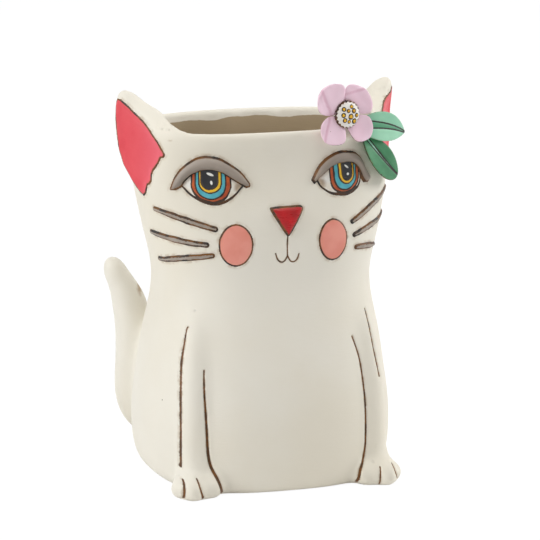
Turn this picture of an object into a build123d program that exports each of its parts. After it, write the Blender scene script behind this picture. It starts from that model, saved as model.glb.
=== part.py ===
from build123d import *
import math
import os

# A planter in the shape of a sitting cat, open at the top of its head.
# Millimetres, +Z up. The origin is on the ground, in the middle of the cat, and the cat faces -Y.
# Left and right are the cat's own, so left is +X.

# Hollow body: outside size, wall and base
rim_height = 202.5
body_half_width = 72.5
body_front_depth = 59.5
body_back_depth = 59.5
wall = 6.0
floor_thickness = 8.0
rim_rounding = 2.4
foot_ring_width = 11.0
foot_recess_depth = 2.0
section_points = 28
overrun = 12.0
join_gap = 0.04

# Height, half width, front depth and back depth as shares of the sizes above,
# and the power of the rounded square that each level is
body_station_shares = (
    (0.000, 0.800, 0.950, 0.840, 2.9),
    (0.020, 0.890, 0.975, 0.891, 2.8),
    (0.059, 0.960, 0.992, 0.941, 2.7),
    (0.119, 0.993, 1.000, 0.983, 2.6),
    (0.207, 0.997, 0.992, 1.000, 2.5),
    (0.306, 0.961, 0.958, 0.958, 2.5),
    (0.420, 0.914, 0.891, 0.866, 2.5),
    (0.518, 0.858, 0.837, 0.765, 2.5),
    (0.593, 0.848, 0.820, 0.714, 2.6),
    (0.667, 0.890, 0.829, 0.697, 2.7),
    (0.741, 0.942, 0.820, 0.706, 2.6),
    (0.840, 1.000, 0.753, 0.731, 2.5),
    (0.938, 1.032, 0.733, 0.773, 2.5),
    (1.000, 1.048, 0.756, 0.815, 2.5),
)

# Drain hole and its soft plug
drain_radius = 6.0
plug_clearance = 0.06
plug_flange_radius = 10.0
plug_flange_thickness = 2.5
plug_grip_radius = 3.2
plug_grip_height = 7.0
plug_rounding = 0.8

# Ears: a leaning face on the outer side of each, and the bulk behind it
ear_tip_across = 80.2
ear_tip_back = 6.7
ear_height = 55.0
ear_above_rim = 19.2
ear_face_width = 40.0
ear_bulk = 20.0
ear_face_turn = 64.8
lining_sink = 0.6
lining_thickness = 1.2
lining_drop = 5.4
lining_width = 38.0
lining_height = 51.6

# Ear levels: depth below the tip as a share of ear_height, then corners as shares of
# ear_face_width along the face and of ear_bulk inwards from it
ear_section_shares = (
    (0.000, ((0.02, 0.02), (0.07, 0.02), (0.10, 0.12), (0.06, 0.18), (0.02, 0.14))),
    (0.038, ((-0.03, 0.00), (0.11, 0.01), (0.22, 0.30), (0.12, 0.42), (0.00, 0.42))),
    (0.100, ((-0.06, 0.00), (0.13, 0.00), (0.33, 0.39), (0.14, 0.54), (-0.05, 0.58))),
    (0.190, ((-0.07, 0.00), (0.37, 0.00), (0.70, 0.48), (0.24, 0.66), (-0.16, 0.90))),
    (0.282, ((-0.07, 0.00), (0.57, 0.00), (1.10, 0.33), (0.40, 0.55), (-0.31, 1.07))),
    (0.391, ((-0.06, 0.00), (0.75, 0.00), (1.05, 0.20), (0.45, 0.60), (-0.33, 0.95))),
    (0.573, ((-0.03, 0.00), (0.95, 0.02), (1.00, 0.40), (0.45, 0.75), (-0.26, 0.72))),
    (0.790, ((0.08, 0.00), (0.80, 0.20), (0.78, 0.50), (0.40, 0.80), (-0.09, 0.62))),
    (1.000, ((0.34, 0.05), (0.60, 0.20), (0.60, 0.40), (0.46, 0.60), (0.20, 0.50))),
)

# Red lining outline as shares of lining_width and lining_height, from its tip
lining_front_shares = ((0.00, 0.00), (0.18, -0.04), (0.57, -0.19), (0.85, -0.39), (1.00, -0.51))
lining_back_shares = ((0.50, -1.00), (0.22, -0.85), (-0.01, -0.54), (-0.06, -0.15), (0.00, 0.00))

# Tail: centre line of rising rounds behind the right hip
tail_radius = 9.6
tail_reach_out = 75.5
tail_reach_back = 55.0
tail_height = 119.0

# Across, back, height and radius as shares of the four sizes above
tail_station_shares = (
    (-0.34, 0.74, 0.130, 0.60),
    (-0.50, 0.93, 0.145, 0.86),
    (-0.71, 0.98, 0.190, 0.97),
    (-0.81, 0.90, 0.290, 1.00),
    (-0.83, 0.85, 0.440, 1.00),
    (-0.825, 0.84, 0.600, 0.99),
    (-0.85, 0.85, 0.740, 0.93),
    (-0.905, 0.87, 0.870, 0.78),
    (-0.955, 0.885, 0.945, 0.60),
    (-0.990, 0.895, 0.990, 0.24),
)

# Front legs: ridges down the front corners, and a paw of three toes on each
leg_top = 108.0
leg_half_width = 7.8
leg_half_depth = 6.2
leg_across = 53.5
leg_forward = 45.5
leg_turn = 38.0
toe_half_width = 6.3
toe_half_length = 9.5
toe_half_height = 8.2
toe_rise = 5.4
paw_across = 56.6
paw_forward = 54.5

# Height, across, forward, half width and half depth as shares
leg_station_shares = (
    (0.00, 1.020, 1.090, 1.52, 1.42),
    (0.06, 1.020, 1.080, 1.46, 1.38),
    (0.12, 1.000, 1.040, 1.15, 1.10),
    (0.20, 0.995, 1.005, 1.00, 0.96),
    (0.34, 0.995, 0.995, 0.97, 0.94),
    (0.55, 0.985, 0.965, 0.95, 0.90),
    (0.72, 0.960, 0.890, 0.92, 0.82),
    (0.86, 0.930, 0.810, 0.88, 0.72),
    (0.94, 0.905, 0.730, 0.80, 0.62),
    (1.00, 0.880, 0.640, 0.60, 0.48),
)

# The paw's own bulk and its toes: across from the paw's middle and forward, as shares of
# toe_half_width and toe_half_length, and the size as a share
toe_place_shares = ((-0.25, -0.75, 1.25), (-1.60, -0.20, 0.98), (0.04, 0.0, 1.0), (1.00, -0.50, 0.76))

# Face: places as shares of rim_height and body_half_width, sizes in millimetres
eye_half_width = 20.5
eye_half_height = 13.0
eye_level_share = 0.869
eye_across_shares = (0.488, -0.561)
lid_relief = 3.0
eyeball_relief = 0.9
iris_relief = 1.5
pupil_relief = 1.8
iris_half_width = 10.2
iris_half_height = 11.4
pupil_half_width = 4.2
pupil_half_height = 5.9
cheek_half_width = 8.9
cheek_half_height = 11.4
cheek_relief = 0.8
cheek_level_share = 0.692
cheek_across_shares = (0.382, -0.394)
nose_half_width = 9.0
nose_height = 14.6
nose_relief = 2.6
nose_top_share = 0.787
nose_rounding = 1.6
whisker_width = 2.7
whisker_relief = 1.0

# Upper lid and eye opening, outwards and upwards from the eye's middle, as shares
lid_top_shares = (
    (1.00, -0.39), (0.90, 0.03), (0.74, 0.43), (0.32, 0.92), (-0.14, 0.94), (-0.68, 0.45), (-1.00, -0.21),
)
lid_edge_shares = (
    (-0.96, -0.34), (-0.59, 0.00), (-0.27, 0.34), (0.08, 0.47), (0.39, 0.34), (0.63, 0.00), (0.80, -0.34),
)
eye_floor_shares = (
    (0.80, -0.34), (0.57, -0.56), (0.19, -0.92), (-0.04, -1.00), (-0.27, -0.95), (-0.62, -0.60), (-0.96, -0.34),
)
# Rings of the iris: size as shares of the iris, and how far up each is moved
iris_ring_shares = (("outer", 1.00, -0.125), ("middle", 0.79, -0.085), ("inner", 0.58, -0.025))

# Whiskers: across and height of the inner and outer ends, as shares, for the left then right side
whisker_shares = {
    "top": (((0.560, 0.738), (0.940, 0.797)), ((-0.552, 0.739), (-0.921, 0.779))),
    "middle": (((0.581, 0.699), (0.910, 0.732)), ((-0.612, 0.695), (-0.905, 0.707))),
    "bottom": (((0.600, 0.662), (0.835, 0.645)), ((-0.574, 0.663), (-0.850, 0.634))),
}

# Flower on the rim, and its two leaves
flower_across = 36.2
flower_forward = 45.6
flower_above_rim = 6.9
flower_turn = 12.0
flower_centre_radius = 7.0
flower_centre_thickness = 5.2
flower_centre_rounding = 1.2
flower_pad_radius = 5.6
flower_pad_below = 8.2
petal_length = 20.0
petal_half_width = 8.7
petal_half_thickness = 1.6
petal_cup = 2.4
petal_start = 3.4
seed_radius = 1.25
seed_sink = 0.5
leaf_half_thickness = 1.1
light_leaf_half_width = 8.6
dark_leaf_half_width = 7.4
leaf_cup = 1.6
leaf_turn = 38.0

# Seeds across the centre, as shares of its radius
seed_place_shares = (
    (-0.42, 0.50), (-0.08, 0.40), (0.17, 0.60), (0.37, 0.30), (-0.45, 0.00),
    (0.13, -0.14), (0.62, -0.08), (-0.38, -0.40), (-0.03, -0.60), (0.42, -0.54),
)
# Petals: turn about the centre in degrees, and reach as a share of petal_length
petal_turn_shares = ((142.0, 1.00), (52.0, 0.86), (225.0, 0.96), (314.0, 0.90))
# Half width of a petal or a leaf along its length, each as shares
petal_outline_shares = ((0.00, 0.42), (0.22, 0.80), (0.50, 1.00), (0.78, 0.90), (0.94, 0.62), (1.00, 0.34))
leaf_outline_shares = (
    (0.00, 0.24), (0.15, 0.64), (0.38, 0.98), (0.58, 0.92), (0.78, 0.64), (0.93, 0.32), (1.00, 0.10),
)

# Leaf centre lines: start, bend and tip as across, forward and height shares
light_leaf_shares = ((0.630, 0.705, 0.998), (0.870, 0.610, 0.985), (1.100, 0.335, 0.945))
dark_leaf_shares = ((0.700, 0.630, 0.975), (0.885, 0.550, 0.910), (1.020, 0.420, 0.845))

sides = (("left", 1, 0), ("right", -1, 1))
ear_tip_height = rim_height + ear_above_rim
made = {}


def superellipse_wire(height, half_width, front, back, power):
    """Level closed curve: a rounded square with its own depth to the front and to the back."""
    points = []
    for i in range(section_points):
        turn = math.radians(90 + 360 * i / section_points)
        across = math.copysign(abs(math.cos(turn)) ** (2 / power), math.cos(turn))
        along = math.copysign(abs(math.sin(turn)) ** (2 / power), math.sin(turn))
        depth = back if along > 0 else front
        points.append((half_width * across, depth * along, height))
    return Wire([Edge.make_spline([Vector(*p) for p in points], periodic=True)])


def body_sizes(height):
    """Half width, front depth, back depth and power of the outside at a height."""
    share = height / rim_height
    rows = body_station_shares
    for low, high in zip(rows, rows[1:]):
        if share <= high[0]:
            break
    mix = (share - low[0]) / (high[0] - low[0])
    width, front, back, power = [a + mix * (b - a) for a, b in zip(low[1:], high[1:])]
    return width * body_half_width, front * body_front_depth, back * body_back_depth, power


def body_solid(grow, bottom=0, top=rim_height):
    """Filled body between two heights, grown outwards (or inwards when negative)."""
    levels = [row[0] * rim_height for row in body_station_shares]
    kept = [bottom] + [z for z in levels if bottom < z < min(top, rim_height)] + [top]
    wires = []
    for height in kept:
        half_width, front, back, power = body_sizes(height)
        wires.append(superellipse_wire(height, half_width + grow, front + grow, back + grow, power))
    return Solid.make_loft(wires)


def grown_body(grow):
    """Body grown for a piece of relief, made once for each thickness."""
    key = round(grow, 4)
    if key not in made:
        made[key] = body_solid(grow)
    return made[key]


def front_prism(face):
    """Front view face drawn out from the middle plane to in front of the body."""
    return extrude(Plane.XZ * face, amount=body_front_depth + overrun)


def relief(face, proud, seat=0):
    """Piece of the given front view between two layers over the body's surface."""
    return (front_prism(face) & grown_body(proud)) - grown_body(seat + join_gap)


def largest_solid(shape):
    """The piece itself, without slivers that a cut may leave beside it."""
    return shape.solids().sort_by(SortBy.VOLUME)[-1]


def blade(line, outline_shares, half_width, half_thickness, cup, facing):
    """Petal or leaf: cupped lens sections along a curved centre line."""
    sections = []
    for along, wide in outline_shares:
        place = line @ along
        forward = line % along
        across = facing.cross(forward).normalized()
        face_up = forward.cross(across).normalized()
        points = []
        for i in range(section_points // 2):
            turn = math.tau * i / (section_points // 2)
            reach = half_width * wide * math.cos(turn)
            lift = half_thickness * math.sin(turn) + cup * (wide * math.cos(turn)) ** 2
            points.append(place + across * reach + face_up * lift)
        sections.append(Wire([Edge.make_spline(points, periodic=True)]))
    return Solid.make_loft(sections)


def make_pot_shell(cavity):
    """Hollow cat with a rounded rim, a drain hole and a shallow recess under its base."""
    shell = body_solid(0) - cavity
    shell = fillet(shell.edges().group_by(Axis.Z)[-1], rim_rounding)
    half_width, front, back, power = body_sizes(0)
    recess = Solid.make_loft(
        [
            superellipse_wire(
                z, half_width - foot_ring_width, front - foot_ring_width, back - foot_ring_width, power
            )
            for z in (-overrun, foot_recess_depth)
        ],
        ruled=True,
    )
    return shell - recess - Cylinder(drain_radius, floor_thickness + overrun)


def make_drain_plug():
    """Soft plug with a flange on the pot's floor and a grip to pull it up by."""
    stem_length = floor_thickness - foot_recess_depth
    stem = Pos(0, 0, foot_recess_depth) * Cylinder(
        drain_radius - plug_clearance, stem_length, align=(Align.CENTER, Align.CENTER, Align.MIN)
    )
    flange = Pos(0, 0, floor_thickness) * Cylinder(
        plug_flange_radius, plug_flange_thickness, align=(Align.CENTER, Align.CENTER, Align.MIN)
    )
    flange = fillet(flange.edges().group_by(Axis.Z)[-1], plug_rounding)
    grip = Pos(0, 0, floor_thickness + plug_flange_thickness) * Cylinder(
        plug_grip_radius, plug_grip_height, align=(Align.CENTER, Align.CENTER, Align.MIN)
    )
    grip = fillet(grip.edges().group_by(Axis.Z)[-1], plug_rounding)
    return stem + flange + grip


def ear_plane(side):
    """Plane of the ear's outer face: its origin at the tip, X towards the cat's front."""
    turn = math.radians(ear_face_turn)
    outward = Vector(side * math.sin(turn), -math.cos(turn), 0)
    frontward = Vector(-side * math.cos(turn), -math.sin(turn), 0)
    return Vector(side * ear_tip_across, ear_tip_back, ear_tip_height), outward, frontward


def make_ear_bulk(side):
    """Ear before it is cut to the head: rounded five-sided levels that shrink to the tip."""
    tip, outward, frontward = ear_plane(side)
    wires = []
    for drop, corners in ear_section_shares:
        places = []
        for along, inward in corners:
            place = tip + frontward * (along * ear_face_width) - outward * (inward * ear_bulk)
            places.append(place - Vector(0, 0, drop * ear_height))
        points = []
        for here, after in zip(places, places[1:] + places[:1]):
            points.append(here)
            points.append((here + after) * 0.5)
        wires.append(Wire([Edge.make_spline(points, periodic=True)]))
    return Solid.make_loft(wires, ruled=True)


def make_lining_prism(side, low, high):
    """Outline of the red lining drawn out square to the ear's face between two depths."""
    tip, outward, frontward = ear_plane(side)
    start = tip - Vector(0, 0, lining_drop) + outward * low

    def place(shares):
        return [
            start + frontward * (u * lining_width) + Vector(0, 0, v * lining_height) for u, v in shares
        ]

    front_edge = Edge.make_spline(place(lining_front_shares))
    back_edge = Edge.make_spline(place(lining_back_shares))
    foot = Edge.make_line(front_edge @ 1, back_edge @ 0)
    face = Face(Wire([front_edge, foot, back_edge]))
    return extrude(face, amount=high - low, dir=outward)


def make_ears(pot_shell, cavity):
    """Both ears, each with its red lining let into the outer face."""
    seat = make_lining_prism(1, -lining_sink - lining_thickness, overrun)
    lining = make_lining_prism(1, -lining_sink - lining_thickness, -lining_sink)
    ear = largest_solid(make_ear_bulk(1) - seat - pot_shell - cavity)
    return {
        "left_ear": ear,
        "right_ear": mirror(ear, about=Plane.YZ),
        "left_ear_lining": lining,
        "right_ear_lining": mirror(lining, about=Plane.YZ),
    }


def make_tail():
    """Tail of rounds square to its centre line, cut where it joins the body."""
    centres = [
        Vector(x * tail_reach_out, y * tail_reach_back, z * tail_height)
        for x, y, z, _ in tail_station_shares
    ]
    line = Edge.make_spline(centres)
    wires = []
    for centre, row in zip(centres, tail_station_shares):
        along = line.tangent_at(line.param_at_point(centre))
        wires.append(Wire.make_circle(row[3] * tail_radius, Plane(origin=centre, z_dir=along)))
    return largest_solid(Solid.make_loft(wires) - grown_body(join_gap))


def make_front_leg():
    """Ridge of the left front leg with its three toes, cut to the body and the ground."""
    wires = []
    turn = math.radians(leg_turn)
    for up, across, forward, wide, deep in leg_station_shares:
        middle = Vector(across * leg_across, -forward * leg_forward, up * leg_top)
        level = Plane(origin=middle, x_dir=Vector(math.cos(turn), math.sin(turn), 0), z_dir=(0, 0, 1))
        wires.append(Wire.make_ellipse(wide * leg_half_width, deep * leg_half_depth, level))
    leg = Solid.make_loft(wires, ruled=True)
    for across, forward, size in toe_place_shares:
        toe = scale(
            Sphere(1), by=(size * toe_half_width, size * toe_half_length, size * toe_half_height)
        )
        middle_x = paw_across + across * toe_half_width
        middle_y = -(paw_forward + forward * toe_half_length)
        leg += Pos(middle_x, middle_y, toe_rise) * Rot(0, 0, across * leg_turn / 2) * toe
    reach = 2 * (body_half_width + overrun)
    ground = Box(reach, reach, 2 * overrun, align=(Align.CENTER, Align.CENTER, Align.MAX))
    return largest_solid(leg - grown_body(join_gap) - ground)


def eye_points(shares, index, side):
    """Front view points of an eye curve on one side."""
    middle_x = eye_across_shares[index] * body_half_width
    middle_z = eye_level_share * rim_height
    return [
        (middle_x + side * out * eye_half_width, middle_z + up * eye_half_height) for out, up in shares
    ]


def make_eye(name, side, index):
    """Upper lid, white, three iris rings and pupil of one eye."""
    pieces = {}
    lid_top = Spline(eye_points(lid_top_shares, index, side))
    lid_edge = Spline(eye_points(lid_edge_shares, index, side))
    eye_floor = Spline(eye_points(eye_floor_shares, index, side))
    lid = make_face(lid_top + Line(lid_top @ 1, lid_edge @ 0) + lid_edge + Line(lid_edge @ 1, lid_top @ 0))
    opening = make_face(lid_edge + eye_floor)
    middle_x = eye_across_shares[index] * body_half_width
    middle_z = eye_level_share * rim_height
    rings = []
    for ring, size, up in iris_ring_shares:
        whole = Pos(middle_x, middle_z + up * iris_half_height) * Ellipse(
            size * iris_half_width, size * iris_half_height
        )
        rings.append((ring, whole))
    pupil = Pos(middle_x, middle_z) * Ellipse(pupil_half_width, pupil_half_height)
    rings.append(("pupil", pupil))
    pieces[name + "_eyelid"] = relief(lid, lid_relief)
    pieces[name + "_eyeball"] = relief(opening, eyeball_relief)
    for (ring, outer), (_, inner) in zip(rings, rings[1:]):
        pieces[name + "_iris_" + ring] = relief((outer - inner) & opening, iris_relief, eyeball_relief)
    pieces[name + "_pupil"] = relief(pupil & opening, pupil_relief, eyeball_relief)
    return pieces


def make_nose():
    """Rounded red triangle, point down."""
    top = nose_top_share * rim_height
    outline = Polygon(
        (-nose_half_width, top), (0, top - nose_height), (nose_half_width, top), align=None
    )
    return relief(fillet(outline.vertices(), nose_rounding), nose_relief)


def make_cheek(index):
    """Flat oval cheek patch on one side."""
    middle = Pos(cheek_across_shares[index] * body_half_width, cheek_level_share * rim_height)
    return relief(middle * Ellipse(cheek_half_width, cheek_half_height), cheek_relief)


def make_whisker(inner_shares, outer_shares):
    """Strip of relief with round ends between two front view places."""
    inner = Vector(inner_shares[0] * body_half_width, inner_shares[1] * rim_height)
    outer = Vector(outer_shares[0] * body_half_width, outer_shares[1] * rim_height)
    middle = (inner + outer) * 0.5
    run = outer - inner
    tilt = math.degrees(math.atan2(run.Y, run.X))
    strip = Pos(middle.X, middle.Y) * Rot(0, 0, tilt) * SlotCenterToCenter(run.length, whisker_width)
    return relief(strip, whisker_relief)


def flower_plane():
    """Plane of the flower's back, turned a little to the cat's left."""
    turn = math.radians(flower_turn)
    return Plane(
        origin=(flower_across, -flower_forward, rim_height + flower_above_rim),
        x_dir=(math.cos(turn), math.sin(turn), 0),
        z_dir=(math.sin(turn), -math.cos(turn), 0),
    )


def make_flower(pot_shell):
    """Four cupped petals round a thick centre with seeds on it."""
    place = flower_plane()
    centre = extrude(Circle(flower_centre_radius), amount=flower_centre_thickness)
    centre = place * fillet(centre.edges().group_by(Axis.Z)[-1], flower_centre_rounding)
    pieces = {}
    taken = centre
    for number, (turn, reach) in enumerate(petal_turn_shares, start=1):
        out = Vector(math.cos(math.radians(turn)), math.sin(math.radians(turn)), 0)
        start = place.from_local_coords(out * petal_start)
        end = place.from_local_coords(out * (reach * petal_length))
        line = Edge.make_line(start, end)
        petal = blade(
            line, petal_outline_shares, petal_half_width, petal_half_thickness, petal_cup, place.z_dir
        )
        pieces["petal_%d" % number] = petal - taken - pot_shell
        taken = taken + petal
    seeds = []
    for x, y in seed_place_shares:
        seed = Pos(
            x * flower_centre_radius, y * flower_centre_radius, flower_centre_thickness - seed_sink
        ) * Sphere(seed_radius)
        seeds.append(place * seed - centre)
    pad = extrude(Circle(flower_pad_radius), amount=-overrun)
    pad = place * Pos(0, -flower_pad_below) * pad
    pieces["flower_pad"] = largest_solid(pad - taken - pot_shell)
    pieces["flower_centre"] = centre
    pieces["flower_seeds"] = Compound(children=seeds)
    return pieces, taken + pieces["flower_pad"]


def make_leaves(taken):
    """The light and the dark leaf along their bent centre lines, clear of what they lie on."""
    turn = math.radians(leaf_turn)
    facing = Vector(math.sin(turn), -math.cos(turn), 0)
    pieces = {}
    for name, half_width, shares in (
        ("light_leaf", light_leaf_half_width, light_leaf_shares),
        ("dark_leaf", dark_leaf_half_width, dark_leaf_shares),
    ):
        points = [
            Vector(x * body_half_width, -y * body_front_depth, z * rim_height) for x, y, z in shares
        ]
        line = Edge.make_three_point_arc(*points)
        leaf = blade(line, leaf_outline_shares, half_width, leaf_half_thickness, leaf_cup, facing)
        for other in taken + list(pieces.values()):
            leaf = leaf - other
        pieces[name] = leaf
    return pieces


def make_parts():
    """Every node of the planter by name."""
    parts = {}
    cavity = body_solid(-wall, bottom=floor_thickness)
    pot_shell = make_pot_shell(cavity)
    parts["drain_plug"] = make_drain_plug()
    parts.update(make_ears(pot_shell, cavity))
    seats = make_lining_prism(1, -lining_sink - lining_thickness, overrun)
    parts["pot_shell"] = pot_shell - seats - mirror(seats, about=Plane.YZ)
    parts["tail"] = make_tail()
    leg = make_front_leg()
    parts["left_front_leg"] = leg
    parts["right_front_leg"] = mirror(leg, about=Plane.YZ)
    for name, side, index in sides:
        parts.update(make_eye(name, side, index))
        parts[name + "_cheek"] = make_cheek(index)
        for row, ends in whisker_shares.items():
            parts[name + "_whisker_" + row] = make_whisker(*ends[index])
    parts["nose"] = make_nose()
    flower, flower_bulk = make_flower(pot_shell)
    parts.update(flower)
    parts.update(make_leaves([pot_shell, flower_bulk, parts["left_ear"]]))
    return parts


os.makedirs("parts", exist_ok=True)
for node, shape in make_parts().items():
    export_step(shape, os.path.join("parts", node + ".step"))
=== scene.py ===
import bpy
import math
import numpy as np
from mathutils import Matrix, Vector
from mathutils.bvhtree import BVHTree


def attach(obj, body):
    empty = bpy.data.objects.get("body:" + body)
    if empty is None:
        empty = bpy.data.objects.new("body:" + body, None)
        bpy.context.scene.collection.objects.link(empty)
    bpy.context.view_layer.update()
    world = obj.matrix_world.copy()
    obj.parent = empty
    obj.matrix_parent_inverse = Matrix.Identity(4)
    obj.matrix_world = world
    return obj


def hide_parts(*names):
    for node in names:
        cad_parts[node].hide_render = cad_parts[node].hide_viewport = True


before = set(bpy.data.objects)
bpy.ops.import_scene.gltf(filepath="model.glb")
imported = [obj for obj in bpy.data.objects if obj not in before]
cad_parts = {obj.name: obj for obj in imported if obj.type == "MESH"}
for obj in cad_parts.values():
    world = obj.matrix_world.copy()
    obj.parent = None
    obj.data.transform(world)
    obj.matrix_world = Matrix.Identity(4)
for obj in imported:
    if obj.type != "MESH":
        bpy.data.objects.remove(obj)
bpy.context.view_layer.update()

mm = 0.001
clearGap = 9.0  # in a gap attribute, far enough from any line or wash


# Selecting, reading and writing meshes

def deselectAll():
    if bpy.context.object and bpy.context.object.mode != "OBJECT":
        bpy.ops.object.mode_set(mode="OBJECT")
    bpy.ops.object.select_all(action="DESELECT")


def makeActive(piece):
    deselectAll()
    piece.select_set(True)
    bpy.context.view_layer.objects.active = piece


def getPoints(piece):
    points = np.empty(len(piece.data.vertices) * 3)
    piece.data.vertices.foreach_get("co", points)
    return points.reshape(-1, 3)


def setPoints(piece, points):
    piece.data.vertices.foreach_set("co", np.ascontiguousarray(points, dtype=float).ravel())
    piece.data.update()


def getNormals(piece):
    normals = np.empty(len(piece.data.vertices) * 3)
    piece.data.vertices.foreach_get("normal", normals)
    return normals.reshape(-1, 3)


def setAttribute(piece, name, values):
    layer = piece.data.attributes.get(name) or piece.data.attributes.new(name, "FLOAT", "POINT")
    layer.data.foreach_set("value", np.ascontiguousarray(values, dtype=float))


def selectFaces(piece, chosen):
    for vertex in piece.data.vertices:
        vertex.select = False
    for edge in piece.data.edges:
        edge.select = False
    piece.data.polygons.foreach_set("select", np.asarray(chosen, dtype=bool))


def getFaceCentres(piece):
    centres = np.empty(len(piece.data.polygons) * 3)
    piece.data.polygons.foreach_get("center", centres)
    return centres.reshape(-1, 3)


def applyModifier(piece, kind, **values):
    makeActive(piece)
    modifier = piece.modifiers.new(kind.title(), kind)
    for key, value in values.items():
        setattr(modifier, key, value)
    bpy.ops.object.modifier_apply(modifier=modifier.name)


def turnOutwards(piece):
    makeActive(piece)
    bpy.ops.object.mode_set(mode="EDIT")
    bpy.ops.mesh.select_all(action="SELECT")
    bpy.ops.mesh.normals_make_consistent(inside=False)
    bpy.ops.object.mode_set(mode="OBJECT")


def joinPieces(pieces, title):
    deselectAll()
    for piece in pieces:
        piece.hide_set(False)
        piece.select_set(True)
    bpy.context.view_layer.objects.active = pieces[0]
    bpy.ops.object.join()
    whole = bpy.context.object
    whole.name = whole.data.name = title
    return whole


def weightGroup(piece, name, weights):
    group = piece.vertex_groups.new(name=name)
    for i in np.flatnonzero(weights > 0.01):
        group.add([int(i)], float(weights[i]), "REPLACE")
    return group.name


def smoothStep(low, high, values):
    t = np.clip((values - low) / (high - low), 0, 1)
    return t * t * (3 - 2 * t)


def handWobble(a, b, period, seed):
    phase = 1.7 * seed
    wave = np.sin(a / period * 6.3 + phase) + np.sin(b / period * 5.1 + 2.1 * phase + 1.0)
    wave = wave + 0.6 * np.sin((a + b) / period * 9.7 + 3.3 * phase)
    return wave / 2.6


def nearness(points, place, reach, core):
    return 1 - smoothStep(core, 1.0, np.linalg.norm(points - np.array(place), axis=1) / reach)


def evenOut(rows, passes):
    for _ in range(passes):
        rows[1:-1] = (rows[:-2] + 2 * rows[1:-1] + rows[2:]) / 4
    return rows


# Curves in millimetres

def smoothCurve(points, perSpan=8, closed=False):
    points = np.asarray(points, dtype=float)
    count = len(points)
    spans = count if closed else count - 1
    out = []
    for i in range(spans):
        if closed:
            before, here, after, later = [points[(i + k) % count] for k in (-1, 0, 1, 2)]
        else:
            here, after = points[i], points[i + 1]
            before = points[i - 1] if i else 2 * here - after
            later = points[i + 2] if i + 2 < count else 2 * after - here
        for t in np.arange(perSpan) / perSpan:
            first = (after - before) * t
            second = (2 * before - 5 * here + 4 * after - later) * t * t
            third = (3 * here - before - 3 * after + later) * t ** 3
            out.append(0.5 * (2 * here + first + second + third))
    if not closed:
        out.append(points[-1])
    return np.array(out)


def distanceToLine(points, line):
    best = np.full(len(points), 1e9)
    for a, b in zip(line[:-1], line[1:]):
        run = b - a
        length = max(float(run @ run), 1e-12)
        t = np.clip((points - a) @ run / length, 0, 1)
        gap = np.linalg.norm(points - a - t[:, None] * run, axis=1)
        best = np.minimum(best, gap)
    return best


def insideDistance(points, outline):
    loop = np.vstack([outline, outline[:1]])
    best = distanceToLine(points, loop)
    inside = np.zeros(len(points), dtype=bool)
    for (ax, ay), (bx, by) in zip(loop[:-1], loop[1:]):
        if ay == by:
            continue
        crosses = (ay > points[:, 1]) != (by > points[:, 1])
        inside ^= crosses & (points[:, 0] < (bx - ax) * (points[:, 1] - ay) / (by - ay) + ax)
    return np.where(inside, best, -best)


# Camera at the photograph's angle

cameraSettings = {
    "azimuth": -17.8, "elevation": 12.0, "distance": 2.0, "aimHeight": 0.100,
    "metresPerPixel": 0.000567, "aimPixel": (259.6, 296.8), "photoSize": 540, "sensor": 36.0,
}


def makeCamera(settings):
    azimuth, elevation = math.radians(settings["azimuth"]), math.radians(settings["elevation"])
    level = math.cos(elevation)
    back = Vector((math.sin(azimuth) * level, -math.cos(azimuth) * level, math.sin(elevation)))
    aim = Vector((0, 0, settings["aimHeight"]))
    bpy.ops.object.camera_add(location=aim + back * settings["distance"])
    camera = bpy.context.object
    camera.rotation_mode = "QUATERNION"
    camera.rotation_quaternion = (-back).to_track_quat("-Z", "Y")
    size = settings["photoSize"]
    camera.data.sensor_width = settings["sensor"]
    camera.data.lens = settings["distance"] / settings["metresPerPixel"] * settings["sensor"] / size
    camera.data.shift_x = (size / 2 - settings["aimPixel"][0]) / size
    camera.data.shift_y = (settings["aimPixel"][1] - size / 2) / size
    bpy.context.scene.camera = camera


makeCamera(cameraSettings)
print("camera is set")


# Studio: white floor, soft lamps

studioSettings = {
    "floorSize": 16.0, "floorWhite": 0.93, "floorShadow": 0.10, "floorGlow": 1.07,
    "worldStrength": 0.19, "worldColour": (1, 0.985, 0.955, 1), "lampAim": (0, 0, 0.11),
    # name, place, size, power, colour
    "lamps": (
        ("keyLamp", (-2.4, -0.28, 1.25), 1.4, 34.0, (1.0, 1.0, 0.99)),
        ("sideLamp", (2.3, -0.15, 1.15), 1.3, 30.0, (1.0, 1.0, 0.99)),
        ("topLamp", (0.0, 0.05, 2.6), 1.6, 18.5, (1.0, 1.0, 1.0)),
        ("headLamp", (0.05, -0.50, 0.85), 0.5, 1.15, (1.0, 0.965, 0.90)),
    ),
}


def addNode(tree, kind, **values):
    node = tree.nodes.new(kind)
    for key, value in values.items():
        if hasattr(node, key):
            setattr(node, key, value)
        else:
            node.inputs[key.replace("_", " ")].default_value = value
    return node


def seenByEye(tree):
    path = addNode(tree, "ShaderNodeLightPath")
    first = addNode(tree, "ShaderNodeMath", operation="MAXIMUM")
    both = addNode(tree, "ShaderNodeMath", operation="MAXIMUM")
    tree.links.new(path.outputs["Is Camera Ray"], first.inputs[0])
    tree.links.new(path.outputs["Is Glossy Ray"], first.inputs[1])
    tree.links.new(first.outputs[0], both.inputs[0])
    tree.links.new(path.outputs["Is Transmission Ray"], both.inputs[1])
    return both.outputs[0]


def mixIntoOutput(tree, factor, first, second, outputKind):
    mix = addNode(tree, "ShaderNodeMixShader")
    tree.links.new(factor, mix.inputs[0])
    tree.links.new(first.outputs[0], mix.inputs[1])
    tree.links.new(second.outputs[0], mix.inputs[2])
    out = addNode(tree, outputKind)
    tree.links.new(mix.outputs[0], out.inputs[0])


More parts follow.
